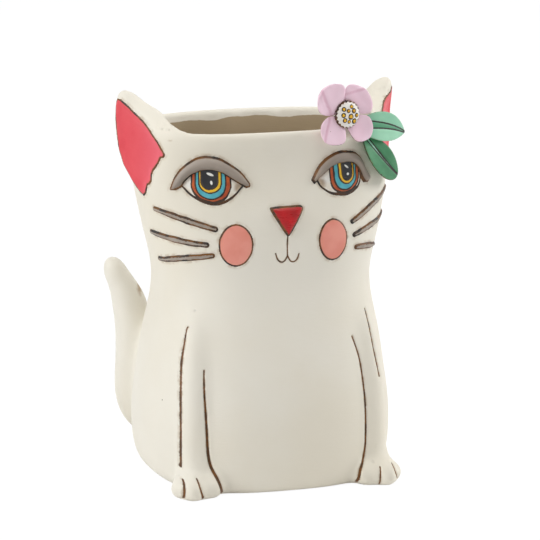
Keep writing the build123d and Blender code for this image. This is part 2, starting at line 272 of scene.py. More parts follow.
def makeFloor(settings):
    deselectAll()
    bpy.ops.mesh.primitive_plane_add(size=settings["floorSize"], location=(0, 0, 0))
    floor = bpy.context.object
    floor.name = "studioFloor"
    material = bpy.data.materials.new("studioFloor")
    material.use_nodes = True
    tree = material.node_tree
    tree.nodes.clear()
    white = settings["floorWhite"]
    diffuse = addNode(tree, "ShaderNodeBsdfDiffuse", Color=(white, white, white, 1))
    glow = addNode(tree, "ShaderNodeEmission", Color=(1, 1, 1, 1), Strength=settings["floorGlow"])
    share = addNode(tree, "ShaderNodeMath", operation="MULTIPLY")
    share.inputs[1].default_value = 1 - settings["floorShadow"]
    tree.links.new(seenByEye(tree), share.inputs[0])
    mixIntoOutput(tree, share.outputs[0], diffuse, glow, "ShaderNodeOutputMaterial")
    floor.data.materials.append(material)


def makeWorld(settings):
    world = bpy.data.worlds.new("studioWorld")
    bpy.context.scene.world = world
    world.use_nodes = True
    tree = world.node_tree
    tree.nodes.clear()
    colour, strength = settings["worldColour"], settings["worldStrength"]
    light = addNode(tree, "ShaderNodeBackground", Color=colour, Strength=strength)
    sky = addNode(tree, "ShaderNodeBackground", Color=(1, 1, 1, 1), Strength=1.0)
    mixIntoOutput(tree, seenByEye(tree), light, sky, "ShaderNodeOutputWorld")


def makeLamps(settings):
    for name, place, size, power, colour in settings["lamps"]:
        aim = Vector(settings["lampAim"]) - Vector(place)
        bpy.ops.object.light_add(type="AREA", location=place)
        lamp = bpy.context.object
        lamp.name = name
        lamp.rotation_mode = "QUATERNION"
        lamp.rotation_quaternion = aim.to_track_quat("-Z", "Y")
        lamp.data.shape = "DISK"
        lamp.data.size = size
        lamp.data.energy = power
        lamp.data.color = colour


makeFloor(studioSettings)
makeWorld(studioSettings)
makeLamps(studioSettings)
bpy.context.scene.view_settings.view_transform = "Standard"
print("studio is lit")


# Cast body: shell, ears, legs and tail in one skin

bodySettings = {
    "nodes": ("pot_shell", "left_ear", "right_ear", "left_ear_lining", "right_ear_lining",
              "left_front_leg", "right_front_leg", "tail", "flower_pad"),
    "merge": 0.02 * mm, "overlap": 0.45 * mm, "legSeat": 0.5 * mm, "voxel": 1.6 * mm,
    "softShare": 0.5, "softCore": 0.35, "firstPasses": 6, "lastPasses": 2,
    # where hand work ran one form into the next: place, reach of the softening, passes
    "blends": (
        ((-50, -44, 99), 17, 70), ((53, -41, 101), 17, 60),
        ((-58, -31, 203), 17, 32), ((58, -31, 203), 17, 32),
        ((-67, -19, 199), 11, 25), ((67, -19, 199), 11, 25),
        ((-66, 2, 206), 12, 30), ((66, 2, 206), 12, 30),
        ((-63, -23, 206), 10, 50), ((63, -23, 206), 10, 50),
        ((-53, -46, 105), 8, 30),
    ),
    "blendGrowth": 2, "lastBlendPasses": 14,
    # where the rim sweeps up into the ears: place, reach, rise
    "rises": (
        ((-54.5, -34, 203), 13, 2.4), ((54.5, -34, 203), 13, 2.4),
        ((-49, -38, 204), 12, 0.6), ((49, -38, 204), 12, 0.6),
        ((-72, 0, 220), 10, -1.8), ((72, 0, 220), 10, -1.2),
    ),
    # ends that the softening had worn away: place, reach, amount
    "tips": (
        ((-80, 50, 118), 20, 1.3), ((-80, 5, 216), 14, 0.5), ((80, 5, 216), 14, 1.1),
        ((-57, -60, 7), 12, 0.5), ((58, -60, 7), 12, 0.6),
    ),
    "tipCore": 0.3,
    # the tail is fuller on the side towards the body: its middle line, then the spans that fade it
    "tail": {
        "swell": 2.8, "heights": (60, 84, 96, 104, 118), "middles": (-60.0, -60.0, -63.0, -66.5, -73.0),
        "acrossSpan": (-3, 5), "depthSpan": (29, 36), "riseSpan": (58, 78), "fallSpan": (93, 113),
        "innerEdge": -40,
    },
}


def mergeNodes(title, settings):
    names = settings["nodes"]
    copies = []
    for name in names:
        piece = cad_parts[name].copy()
        piece.data = piece.data.copy()
        piece.parent = None
        piece.matrix_world = Matrix.Identity(4)
        piece.data.materials.clear()
        bpy.context.collection.objects.link(piece)
        makeActive(piece)
        bpy.ops.object.mode_set(mode="EDIT")
        bpy.ops.mesh.select_all(action="SELECT")
        bpy.ops.mesh.remove_doubles(threshold=settings["merge"])
        bpy.ops.object.mode_set(mode="OBJECT")
        if name != names[0]:  # a little larger, so that what was set against the shell runs into it
            applyModifier(piece, "DISPLACE", strength=settings["overlap"], mid_level=0)
        if name.endswith("leg"):
            setPoints(piece, getPoints(piece) + np.array((0, settings["legSeat"], 0)))
        copies.append(piece)
    return joinPieces(copies, title)


def softenSpots(piece, spots, settings):
    points = getPoints(piece) / mm
    for place, reach, passes in spots:
        group = weightGroup(piece, "blend", nearness(points, place, reach, settings["softCore"]))
        applyModifier(piece, "SMOOTH", factor=settings["softShare"], iterations=passes, vertex_group=group)
        piece.vertex_groups.clear()


def raiseSpots(piece, spots):
    points = getPoints(piece) / mm
    for place, reach, rise in spots:
        points[:, 2] += rise * nearness(points, place, reach, 0.0)
    setPoints(piece, points * mm)


def swellTail(piece, tail):
    points = getPoints(piece) / mm
    x, y, z = points.T
    middle = np.interp(z, tail["heights"], tail["middles"])
    share = smoothStep(*tail["acrossSpan"], x - middle) * smoothStep(*tail["depthSpan"], y)
    share = share * (x < tail["innerEdge"])
    reach = smoothStep(*tail["riseSpan"], z) * (1 - smoothStep(*tail["fallSpan"], z))
    points[:, 0] += tail["swell"] * share * reach
    setPoints(piece, points * mm)


def fillTips(piece, tips, core):
    points, normals = getPoints(piece) / mm, getNormals(piece)
    for place, reach, amount in tips:
        points += normals * (amount * nearness(points, place, reach, core))[:, None]
    setPoints(piece, points * mm)


def makeBody(settings):
    body = mergeNodes("castBody", settings)
    makeActive(body)
    body.data.remesh_voxel_size = settings["voxel"]
    bpy.ops.object.voxel_remesh()
    applyModifier(body, "SMOOTH", factor=settings["softShare"], iterations=settings["firstPasses"])
    raiseSpots(body, settings["rises"])
    swellTail(body, settings["tail"])
    softenSpots(body, settings["blends"], settings)
    makeActive(body)
    bpy.ops.object.voxel_remesh()  # closes the pinholes left where two forms met
    applyModifier(body, "SMOOTH", factor=settings["softShare"], iterations=settings["lastPasses"])
    wider = [(place, reach + settings["blendGrowth"], settings["lastBlendPasses"])
             for place, reach, _ in settings["blends"]]
    softenSpots(body, wider, settings)
    fillTips(body, settings["tips"], settings["tipCore"])
    bpy.ops.object.shade_smooth()
    return body


body = makeBody(bodySettings)
print("cast body has", len(body.data.polygons), "faces")


# Lines drawn and carved on the body, as front view points in millimetres with half widths at both ends

lineSettings = {
    "lines": {
        "legOuterRight": (0.28, 0.38, (
            (-53.6, 94.0), (-54.4, 92.6), (-55.8, 86.8), (-57.6, 78.4), (-58.9, 66.8),
            (-59.8, 51.4), (-60.3, 31.8), (-60.6, 20.0), (-61.0, 17.0))),
        "legInnerRight": (0.46, 1.05, (
            (-47.4, 71.0), (-47.9, 62.2), (-47.7, 52.1), (-47.2, 40.2), (-47.0, 28.4),
            (-45.9, 18.6), (-43.2, 12.8), (-41.4, 8.2), (-39.6, 2.5))),
        "legOuterLeft": (0.30, 0.42, ((49.8, 98.0), (50.5, 93.4), (51.4, 86.8), (52.4, 77.0), (55.4, 60.5))),
        "legInnerLeft": (0.44, 0.72, (
            (39.4, 84.4), (42.9, 74.3), (44.4, 64.2), (45.6, 52.0), (46.1, 41.2),
            (45.9, 28.7), (45.4, 20.4), (42.9, 13.0), (40.6, 9.4), (39.6, 2.5))),
        "toeOuterRight": (0.50, 0.60, ((-61.9, 11.6), (-62.6, 8.0), (-62.6, 2.2))),
        "toeInnerRight": (0.45, 0.75, ((-54.9, 12.6), (-54.0, 7.9), (-52.0, 1.6))),
        "toeInnerLeft": (0.40, 0.45, ((52.2, 11.0), (51.5, 6.0), (51.6, 1.0))),
        "toeOuterLeft": (0.40, 0.45, ((60.0, 12.0), (60.8, 8.0), (62.9, 3.2))),
        "mouthStem": (0.36, 0.40, ((0.8, 145.0), (0.3, 140.0), (0.5, 132.6))),
        "mouthRight": (0.40, 0.40, (
            (0.5, 133.4), (-0.8, 130.4), (-2.8, 129.5), (-5.1, 130.8), (-6.4, 134.6))),
        "mouthLeft": (0.40, 0.40, ((0.5, 133.4), (1.8, 130.4), (3.7, 129.3), (6.1, 130.5), (7.2, 133.8))),
    },
    "perSpan": 5, "evenPasses": 6, "bands": (2.6, 1.4), "frontReach": 4.0, "farGap": 20.0,
    "grooveDepth": 0.55, "grooveStart": -0.6, "grooveReach": 0.9,
    # brown smudges: place, half width, half height, faintness
    "smudges": (
        (-58.6, 44, 100.1, 2.0, 5.0, 0.0), (-61.0, -33, 197.6, 2.4, 1.5, 0.5),
        (27.5, -46, 188.6, 0.6, 0.5, 0.0),
    ),
    "smudgeDepth": 7,
}

frontFace = {
    "origin": Vector((0, 0, 0)), "u": Vector((1, 0, 0)), "v": Vector((0, 0, 1)), "out": Vector((0, -1, 0)),
}


def surfaceTree(piece):
    return BVHTree.FromObject(piece, bpy.context.evaluated_depsgraph_get())


def castOn(tree, face, places, distance=0.25):
    found = []
    for u, v in places:
        start = face["origin"] + face["u"] * float(u) * mm + face["v"] * float(v) * mm
        hit = tree.ray_cast(start + face["out"] * distance, -face["out"])[0]
        found.append(list(hit) if hit else [np.nan] * 3)
    found = np.array(found)
    missing = np.isnan(found[:, 0])
    if missing.any():  # a place past the edge takes the nearest one that was met
        near = np.flatnonzero(~missing)
        for i in np.flatnonzero(missing):
            found[i] = found[near[np.argmin(abs(near - i))]]
    return found


def inkGap(points, line, startWidth, endWidth, frontReach):
    best = np.full(len(points), 1e9)
    count = len(line) - 1
    for i, (a, b) in enumerate(zip(line[:-1], line[1:])):
        run = b - a
        t = np.clip((points - a) @ run / max(float(run @ run), 1e-12), 0, 1)
        away = points - a - t[:, None] * run
        gap = np.linalg.norm(away, axis=1)
        # as wide as it looks from the front
        gap = np.where(gap < frontReach, np.hypot(away[:, 0], away[:, 2]), gap)
        share = (i + t) / count
        best = np.minimum(best, gap - startWidth - (endWidth - startWidth) * share)
    return best


def nearestInk(points, routes, frontReach):
    return np.min([inkGap(points, route, w0, w1, frontReach) for w0, w1, route in routes], axis=0)


def subdivideNear(piece, centresGap, reach):
    selectFaces(piece, centresGap < reach)
    bpy.ops.object.mode_set(mode="EDIT")
    bpy.ops.mesh.subdivide(number_cuts=1, ngon=False)
    bpy.ops.object.mode_set(mode="OBJECT")


def lineRoutes(settings, tree):
    routes = []
    for startWidth, endWidth, places in settings["lines"].values():
        route = castOn(tree, frontFace, smoothCurve(places, settings["perSpan"])) / mm
        routes.append((startWidth, endWidth, evenOut(route, settings["evenPasses"])))
    return routes


def carveLines(body, settings):
    routes = lineRoutes(settings, surfaceTree(body))
    makeActive(body)
    bpy.context.tool_settings.mesh_select_mode = (False, False, True)
    for reach in settings["bands"]:  # smaller faces near the lines, so that a groove is as thin as its ink
        gap = nearestInk(getFaceCentres(body) / mm, routes, settings["frontReach"])
        subdivideNear(body, gap, reach)
    points = getPoints(body) / mm
    ink = nearestInk(points, routes, settings["frontReach"])
    dip = settings["grooveDepth"] * (1 - smoothStep(settings["grooveStart"], settings["grooveReach"], ink))
    setPoints(body, (points - getNormals(body) * dip[:, None]) * mm)
    setAttribute(body, "inkGap", np.minimum(ink, settings["farGap"]))


def smudgeGap(points, settings):
    best = np.full(len(points), clearGap)
    for x, y, z, wide, high, faint in settings["smudges"]:
        gap = np.hypot((points[:, 0] - x) / wide, (points[:, 2] - z) / high) + faint
        best = np.where(abs(points[:, 1] - y) < settings["smudgeDepth"], np.minimum(best, gap), best)
    return best


# Ears: the painted hollow on the outer side of each, in the plane of its face

earSettings = {
    "tip": (80.2, 6.7), "turn": 64.8, "hollow": 1.4, "hollowStart": -0.4, "hollowRun": 5.0,
    "bands": (2.2, 1.0), "bandDepth": 3.5, "hollowDepth": 4.5, "depthShift": 0.5,
    "lowest": 155, "leastOutward": 0.2,
    # towards the front from the tip, and height
    "outline": (
        (-0.6, 216.2), (2.4, 216.0), (6.2, 213.9), (12.8, 210.0), (19.9, 206.2), (26.9, 201.2),
        (33.0, 196.2), (36.6, 191.4), (37.9, 189.4), (36.9, 187.9), (35.1, 187.7), (34.0, 185.4),
        (33.2, 184.0), (31.5, 181.9), (29.1, 179.8), (28.2, 177.6), (28.1, 173.9), (26.3, 172.0),
        (24.2, 171.0), (23.3, 168.6), (22.2, 166.2), (19.4, 164.2), (15.1, 166.3), (8.3, 172.0),
        (3.1, 179.0), (-0.4, 187.7), (-2.6, 199.0), (-3.0, 208.1), (-2.4, 213.6),
    ),
    # the left one was painted further round to the front, between these heights
    "leftWider": 8.0, "widerFrom": (184, 196), "widerTo": (209, 216), "widerPast": 8,
}


def earFace(side):
    turn = math.radians(earSettings["turn"])
    across, back = earSettings["tip"]
    return {
        "origin": Vector((side * across * mm, back * mm, 0)),
        "u": Vector((-side * math.cos(turn), -math.sin(turn), 0)), "v": Vector((0, 0, 1)),
        "out": Vector((side * math.sin(turn), -math.cos(turn), 0)),
    }


def faceCoordinates(face, points):
    away = points - np.array(face["origin"]) / mm
    return np.stack([away @ np.array(face["u"]), away @ np.array(face["v"])], 1), away @ np.array(face["out"])


def earOutline(side, settings):
    outline = np.array(settings["outline"])
    if side > 0:
        u, height = outline.T
        share = smoothStep(*settings["widerFrom"], height) * (1 - smoothStep(*settings["widerTo"], height))
        outline[:, 0] += settings["leftWider"] * (share * (u > settings["widerPast"]))
    return outline


def nearEar(flat, depth, within, settings):
    return (abs(depth + settings["depthShift"]) < within) & (flat[:, 1] > settings["lowest"])


def earGap(flat, near, outline, elsewhere):
    gap = np.full(len(flat), elsewhere)
    gap[near] = insideDistance(flat[near], outline)
    return gap


def hollowEars(body, settings):
    for side in (1, -1):
        outline = earOutline(side, settings)
        face = earFace(side)
        makeActive(body)
        for reach in settings["bands"]:
            flat, depth = faceCoordinates(face, getFaceCentres(body) / mm)
            near = nearEar(flat, depth, settings["bandDepth"], settings)
            subdivideNear(body, abs(earGap(flat, near, outline, clearGap)), reach)
        points = getPoints(body) / mm
        flat, depth = faceCoordinates(face, points)
        outward = getNormals(body) @ np.array(face["out"])
        near = nearEar(flat, depth, settings["hollowDepth"], settings) & (outward > settings["leastOutward"])
        gap = earGap(flat, near, outline, -clearGap)
        dip = settings["hollow"] * smoothStep(settings["hollowStart"], settings["hollowRun"], gap)
        setPoints(body, (points - dip[:, None] * np.array(face["out"])) * mm)


# The painted inside, below a wavy edge, and the outer sizes that tell inside from outside

insideSettings = {
    "edgeHeight": 196.4, "edgeWave": 1.5, "edgePeriod": 60, "edgeSeed": 3,
    "heights": (0, 12, 24, 42, 62, 85, 105, 120, 135, 150, 170, 190, 203),
    "halfWidths": (58, 69.5, 72, 72.3, 69.7, 66.3, 62.2, 61.5, 64.5, 68.3, 72.5, 74.8, 76),
    "fronts": (56.5, 59, 59.5, 59, 57, 53, 49.8, 48.8, 49.3, 48.8, 44.8, 43.6, 45),
    "backs": (50, 56, 58.5, 59.5, 57, 51.5, 45.5, 42.5, 41.5, 42, 43.5, 46, 48.5),
    "cornerPower": 2.55, "innerShare": 0.90, "floorTop": 5, "outsideDepth": -10,
    # hidden faces are thinned below this depth inside, and under this height outside
    "keptFaces": 0.64, "thinSpan": (4, 10), "thinUnder": 1.5,
}


def insideDepth(points, settings):
    x, y, z = points.T
    wide = np.interp(z, settings["heights"], settings["halfWidths"])
    front = np.interp(z, settings["heights"], settings["fronts"])
    back = np.interp(z, settings["heights"], settings["backs"])
    power, period = settings["cornerPower"], settings["edgePeriod"]
    reach = (abs(x) / wide) ** power + (abs(y) / np.where(y < 0, front, back)) ** power
    turn = np.arctan2(y, x) * period
    edge = settings["edgeHeight"]
    edge = edge + settings["edgeWave"] * handWobble(turn, turn * 0.37, period, settings["edgeSeed"])
    inside = (reach < settings["innerShare"]) & (z > settings["floorTop"])
    return np.where(inside, edge - z, settings["outsideDepth"])


def thinHidden(piece, settings):
    points = getPoints(piece) / mm
    below = points[:, 2] < settings["thinUnder"]
    weights = np.maximum(smoothStep(*settings["thinSpan"], insideDepth(points, settings)), below)
    group = weightGroup(piece, "hidden", weights)
    applyModifier(piece, "DECIMATE", ratio=settings["keptFaces"], vertex_group=group)
    piece.vertex_groups.clear()


thinHidden(body, insideSettings)
print("hidden faces are thinned:", len(body.data.polygons), "faces")
carveLines(body, lineSettings)
hollowEars(body, earSettings)
setAttribute(body, "insideDepth", insideDepth(getPoints(body) / mm, insideSettings))
setAttribute(body, "smudgeGap", smudgeGap(getPoints(body) / mm, lineSettings))
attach(body, "pot")
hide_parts(*[name for name in bodySettings["nodes"] if not name.endswith("lining")])
print("body lines and ear hollows are carved:", len(body.data.polygons), "faces")


# Shared paint effects, as node groups

def fromScreen(red, green, blue):
    colour = []
    for level in (red, green, blue):
        share = level / 255
        colour.append(((share + 0.055) / 1.055) ** 2.4 if level > 10 else share / 12.92)
    return tuple(colour) + (1,)


def makeGroup(name, inputs, outputs):
    group = bpy.data.node_groups.new(name, "ShaderNodeTree")
    for title, kind, value in inputs:
        socket = group.interface.new_socket(title, in_out="INPUT", socket_type=kind)
        if value is not None:
            socket.default_value = value
    for title, kind in outputs:
        group.interface.new_socket(title, in_out="OUTPUT", socket_type=kind)
    return group, group.nodes.new("NodeGroupInput"), group.nodes.new("NodeGroupOutput")


def mathNode(tree, operation, first, second=None, clamp=False):
    node = tree.nodes.new("ShaderNodeMath")
    node.operation = operation
    node.use_clamp = clamp
    for i, value in enumerate((first, second)):
        if value is None:
            continue
        if isinstance(value, (int, float)):
            node.inputs[i].default_value = value
        else:
            tree.links.new(value, node.inputs[i])
    return node.outputs[0]


def mixColour(tree, factor, first, second, blend="MIX"):
    node = tree.nodes.new("ShaderNodeMix")
    node.data_type = "RGBA"
    node.blend_type = blend
    for socket, value in ((node.inputs[0], factor), (node.inputs[6], first), (node.inputs[7], second)):
        if isinstance(value, (int, float, tuple)):
            socket.default_value = value
        else:
            tree.links.new(value, socket)
    return node.outputs[2]


def noiseNode(tree, vector, scale, detail=3.0, roughness=0.5):
    node = tree.nodes.new("ShaderNodeTexNoise")
    node.inputs["Scale"].default_value = scale
    node.inputs["Detail"].default_value = detail
    node.inputs["Roughness"].default_value = roughness
    tree.links.new(vector, node.inputs["Vector"])
    return node.outputs["Fac"]


def rangeNode(tree, value, low, high, start=0.0, end=1.0):
    node = tree.nodes.new("ShaderNodeMapRange")
    node.interpolation_type = "SMOOTHSTEP"
    tree.links.new(value, node.inputs["Value"])
    for title, number in (("From Min", low), ("From Max", high), ("To Min", start), ("To Max", end)):
        if isinstance(number, (int, float)):
            node.inputs[title].default_value = number
        else:
            tree.links.new(number, node.inputs[title])
    return node.outputs[0]


effectSettings = {
    "cloudDetail": 4.0, "cloudRange": (0.32, 0.68), "brushStretch": (220, 220, 900), "grainScale": 1500.0,
    "fineScale": 900.0, "broadScale": 160.0, "inkEdge": 0.12, "toneRange": (0.35, 0.62),
    "patchScale": 240.0, "patchRange": (0.38, 0.66),
}


def makeMottleGroup(settings):
    group, start, end = makeGroup(
        "paintMottle", (("Vector", "NodeSocketVector", None), ("Size", "NodeSocketFloat", 25.0)),
        (("Cloud", "NodeSocketFloat"), ("Brush", "NodeSocketFloat"), ("Grain", "NodeSocketFloat")))
    place = start.outputs["Vector"]
    cloud = group.nodes.new("ShaderNodeTexNoise")
    group.links.new(place, cloud.inputs["Vector"])
    group.links.new(start.outputs["Size"], cloud.inputs["Scale"])
    cloud.inputs["Detail"].default_value = settings["cloudDetail"]
    group.links.new(rangeNode(group, cloud.outputs["Fac"], *settings["cloudRange"]), end.inputs["Cloud"])
    stretch = group.nodes.new("ShaderNodeMapping")
    stretch.inputs["Scale"].default_value = settings["brushStretch"]
    group.links.new(place, stretch.inputs["Vector"])
    group.links.new(noiseNode(group, stretch.outputs[0], 1.0), end.inputs["Brush"])
    group.links.new(noiseNode(group, place, settings["grainScale"], 2.0), end.inputs["Grain"])
    return group


def makeInkGroup(settings):
    group, start, end = makeGroup(
        "brushedLine", (("Vector", "NodeSocketVector", None), ("Gap", "NodeSocketFloat", 0.0),
                        ("Width", "NodeSocketFloat", 0.3), ("Raggedness", "NodeSocketFloat", 0.4),
                        ("Halo", "NodeSocketFloat", 1.2)),
        (("Ink", "NodeSocketFloat"), ("Stain", "NodeSocketFloat"), ("Tone", "NodeSocketFloat")))
    place, raggedness = start.outputs["Vector"], start.outputs["Raggedness"]
    fine = noiseNode(group, place, settings["fineScale"])
    broad = noiseNode(group, place, settings["broadScale"], 2.0)
    ragged = mathNode(group, "MULTIPLY", mathNode(group, "SUBTRACT", fine, 0.5), raggedness)
    swing = mathNode(group, "MULTIPLY", mathNode(group, "SUBTRACT", broad, 0.5), raggedness)
    gap = mathNode(group, "ADD", start.outputs["Gap"], mathNode(group, "ADD", ragged, swing))
    past = mathNode(group, "SUBTRACT", gap, start.outputs["Width"])
    edge = settings["inkEdge"]
    group.links.new(rangeNode(group, past, -edge, edge, 1.0, 0.0), end.inputs["Ink"])
    halo = rangeNode(group, mathNode(group, "DIVIDE", past, start.outputs["Halo"]), 0.0, 1.0, 1.0, 0.0)
    patches = noiseNode(group, place, settings["patchScale"], 4.0)
    patchy = rangeNode(group, patches, *settings["patchRange"])
    group.links.new(mathNode(group, "MULTIPLY", halo, patchy), end.inputs["Stain"])
    group.links.new(rangeNode(group, broad, *settings["toneRange"]), end.inputs["Tone"])
    return group


def makePitGroup():
    group, start, end = makeGroup(
        "castPits", (("Vector", "NodeSocketVector", None), ("Spacing", "NodeSocketFloat", 90.0),
                     ("Size", "NodeSocketFloat", 0.035), ("Share", "NodeSocketFloat", 0.25)),
        (("Pit", "NodeSocketFloat"),))
    cells = group.nodes.new("ShaderNodeTexVoronoi")
    group.links.new(start.outputs["Vector"], cells.inputs["Vector"])
    group.links.new(start.outputs["Spacing"], cells.inputs["Scale"])
    dot = mathNode(group, "LESS_THAN", cells.outputs["Distance"], start.outputs["Size"])
    split = group.nodes.new("ShaderNodeSeparateColor")
    group.links.new(cells.outputs["Color"], split.inputs[0])
    kept = mathNode(group, "LESS_THAN", split.outputs[0], start.outputs["Share"])
    group.links.new(mathNode(group, "MULTIPLY", dot, kept), end.inputs["Pit"])
    return group


mottleGroup = makeMottleGroup(effectSettings)
inkGroup = makeInkGroup(effectSettings)
pitGroup = makePitGroup()
blackInk, brownInk = fromScreen(28, 22, 18), fromScreen(110, 68, 20)
stainColour = fromScreen(168, 134, 88)


def placeGroup(tree, group, vector, **values):
    node = tree.nodes.new("ShaderNodeGroup")
    node.node_tree = group
    tree.links.new(vector, node.inputs["Vector"])
    for title, value in values.items():
        if isinstance(value, (int, float)):
            node.inputs[title].default_value = value
        else:
            tree.links.new(value, node.inputs[title])
    return node


def readAttribute(tree, name):
    node = tree.nodes.new("ShaderNodeAttribute")
    node.attribute_name = name
    return node.outputs["Fac"]


def startMaterial(name):
    material = bpy.data.materials.new(name)
    material.use_nodes = True
    tree = material.node_tree
    shader = tree.nodes["Principled BSDF"]
    shader.inputs["Specular IOR Level"].default_value = 0.4
    coordinates = tree.nodes.new("ShaderNodeTexCoord")
    return material, tree, shader, coordinates.outputs["Object"]


def bumpNode(tree, shader, height, strength, distance):
    node = tree.nodes.new("ShaderNodeBump")
    node.inputs["Strength"].default_value = strength
    node.inputs["Distance"].default_value = distance
    tree.links.new(height, node.inputs["Height"])
    tree.links.new(node.outputs[0], shader.inputs["Normal"])


def swingGap(tree, place, gap, scale, amount):
    swing = mathNode(tree, "SUBTRACT", noiseNode(tree, place, scale), 0.5)
    return mathNode(tree, "ADD", gap, mathNode(tree, "MULTIPLY", swing, amount))


creamPaint = {
    "light": (244, 240, 229), "warm": (239, 233, 218), "cloudSize": 11.0,
    "inside": (186, 167, 137), "insideDark": (166, 147, 118), "insideEdge": (-0.12, 0.22),
    "insideScale": 220.0, "insideSwing": 1.0,
    "lineInk": {"Width": 0.0, "Raggedness": 0.28, "Halo": 0.9}, "lineTone": (0.45, 1.0),
    "trimInk": {"Width": 0.22, "Raggedness": 0.45, "Halo": 1.5},
    "stainShare": 0.42, "pitColour": (96, 72, 44), "pitDepth": 1.5,
    "smudgeScale": 330.0, "smudgeSwing": 1.4, "smudgeEdge": (0.1, 1.2), "smudgeShare": 0.75,
    "gloss": (0.50, 0.66), "grainShare": 0.35, "bump": (0.22, 0.0003),
}
brushRange = (0.2, 0.8)


def makeBodyMaterial(paint):
    material, tree, shader, place = startMaterial("creamPaint")
    mottle = placeGroup(tree, mottleGroup, place, Size=paint["cloudSize"])
    ink = placeGroup(tree, inkGroup, place, Gap=readAttribute(tree, "inkGap"), **paint["lineInk"])
    trim = placeGroup(tree, inkGroup, place, Gap=readAttribute(tree, "trimGap"), **paint["trimInk"])
    pits = placeGroup(tree, pitGroup, place)
    cloud, brush, pit = mottle.outputs["Cloud"], mottle.outputs["Brush"], pits.outputs["Pit"]
    colour = mixColour(tree, cloud, fromScreen(*paint["light"]), fromScreen(*paint["warm"]))
    stain = mathNode(tree, "MAXIMUM", ink.outputs["Stain"], trim.outputs["Stain"])
    colour = mixColour(tree, mathNode(tree, "MULTIPLY", stain, paint["stainShare"]), colour, stainColour)
    colour = mixColour(tree, pit, colour, fromScreen(*paint["pitColour"]))
    smudge = readAttribute(tree, "smudgeGap")
    smudge = swingGap(tree, place, smudge, paint["smudgeScale"], paint["smudgeSwing"])
    smudged = rangeNode(tree, smudge, *paint["smudgeEdge"], paint["smudgeShare"], 0.0)
    colour = mixColour(tree, smudged, colour, stainColour)
    tone = rangeNode(tree, ink.outputs["Tone"], 0.0, 1.0, *paint["lineTone"])
    colour = mixColour(tree, ink.outputs["Ink"], colour, mixColour(tree, tone, blackInk, brownInk))
    depth = readAttribute(tree, "insideDepth")
    depth = swingGap(tree, place, depth, paint["insideScale"], paint["insideSwing"])
    inner = mixColour(tree, cloud, fromScreen(*paint["inside"]), fromScreen(*paint["insideDark"]))
    colour = mixColour(tree, rangeNode(tree, depth, *paint["insideEdge"]), colour, inner)
    tree.links.new(colour, shader.inputs["Base Color"])
    tree.links.new(rangeNode(tree, brush, *brushRange, *paint["gloss"]), shader.inputs["Roughness"])
    grain = mathNode(tree, "MULTIPLY", mottle.outputs["Grain"], paint["grainShare"])
    height = mathNode(tree, "ADD", grain, brush)
    height = mathNode(tree, "SUBTRACT", height, mathNode(tree, "MULTIPLY", pit, paint["pitDepth"]))
    bumpNode(tree, shader, height, *paint["bump"])
    return material


trimPaint = {
    "pits": {"Spacing": 160.0, "Share": 0.08}, "stainMix": 0.5, "glossSpread": (0.07, 0.09),
    "grainShare": 0.3, "bump": (0.25, 0.00025),
}


def makePaint(name, colour, shade, inkWidth=0.28, gloss=0.5, cloudSize=90.0, ragged=0.4, extra=None,
              halo=1.0, wash=0.45, brownShare=1.0):
    material, tree, shader, place = startMaterial(name)
    mottle = placeGroup(tree, mottleGroup, place, Size=cloudSize)
    ink = placeGroup(tree, inkGroup, place, Gap=readAttribute(tree, "edgeGap"), Width=inkWidth,
                     Raggedness=ragged, Halo=halo)
    pits = placeGroup(tree, pitGroup, place, **trimPaint["pits"])
    brush = mottle.outputs["Brush"]
    base = mixColour(tree, mottle.outputs["Cloud"], fromScreen(*colour), fromScreen(*shade))
    if extra:
        base = extra(tree, place, base)
    stained = mixColour(tree, trimPaint["stainMix"], stainColour, fromScreen(*shade))
    base = mixColour(tree, mathNode(tree, "MULTIPLY", ink.outputs["Stain"], wash), base, stained)
    base = mixColour(tree, pits.outputs["Pit"], base, brownInk)
    brown = mathNode(tree, "MULTIPLY", ink.outputs["Tone"], brownShare)
    base = mixColour(tree, ink.outputs["Ink"], base, mixColour(tree, brown, blackInk, brownInk))
    tree.links.new(base, shader.inputs["Base Color"])
    smoother, rougher = trimPaint["glossSpread"]
    roughness = rangeNode(tree, brush, *brushRange, gloss - smoother, gloss + rougher)
    tree.links.new(roughness, shader.inputs["Roughness"])
    grain = mathNode(tree, "MULTIPLY", mottle.outputs["Grain"], trimPaint["grainShare"])
    bumpNode(tree, shader, mathNode(tree, "ADD", grain, brush), *trimPaint["bump"])
    return material


body.data.materials.clear()
body.data.materials.append(makeBodyMaterial(creamPaint))
print("body is painted")


# Thin painted or raised pieces that lie on the body: a grid is laid on it and lifted inside an outline

def gridPiece(name, columns, rows):
    deselectAll()
    bpy.ops.mesh.primitive_grid_add(x_subdivisions=columns, y_subdivisions=rows, size=2)
    piece = bpy.context.object
    piece.name = piece.data.name = name
    points = getPoints(piece)
    levels = len(np.unique(points[:, 0].round(6))), len(np.unique(points[:, 1].round(6)))
    order = np.lexsort((points[:, 0].round(6), points[:, 1].round(6)))
    return piece, order, levels


def softenGrid(values, passes):
    for _ in range(passes):
        for axis in (0, 1):
            rolled = np.concatenate([values.take([0], axis), values, values.take([-1], axis)], axis)
            count = values.shape[axis]
            before, after = rolled.take(range(count), axis), rolled.take(range(2, count + 2), axis)
            values = (before + 2 * values + after) / 4
    return values


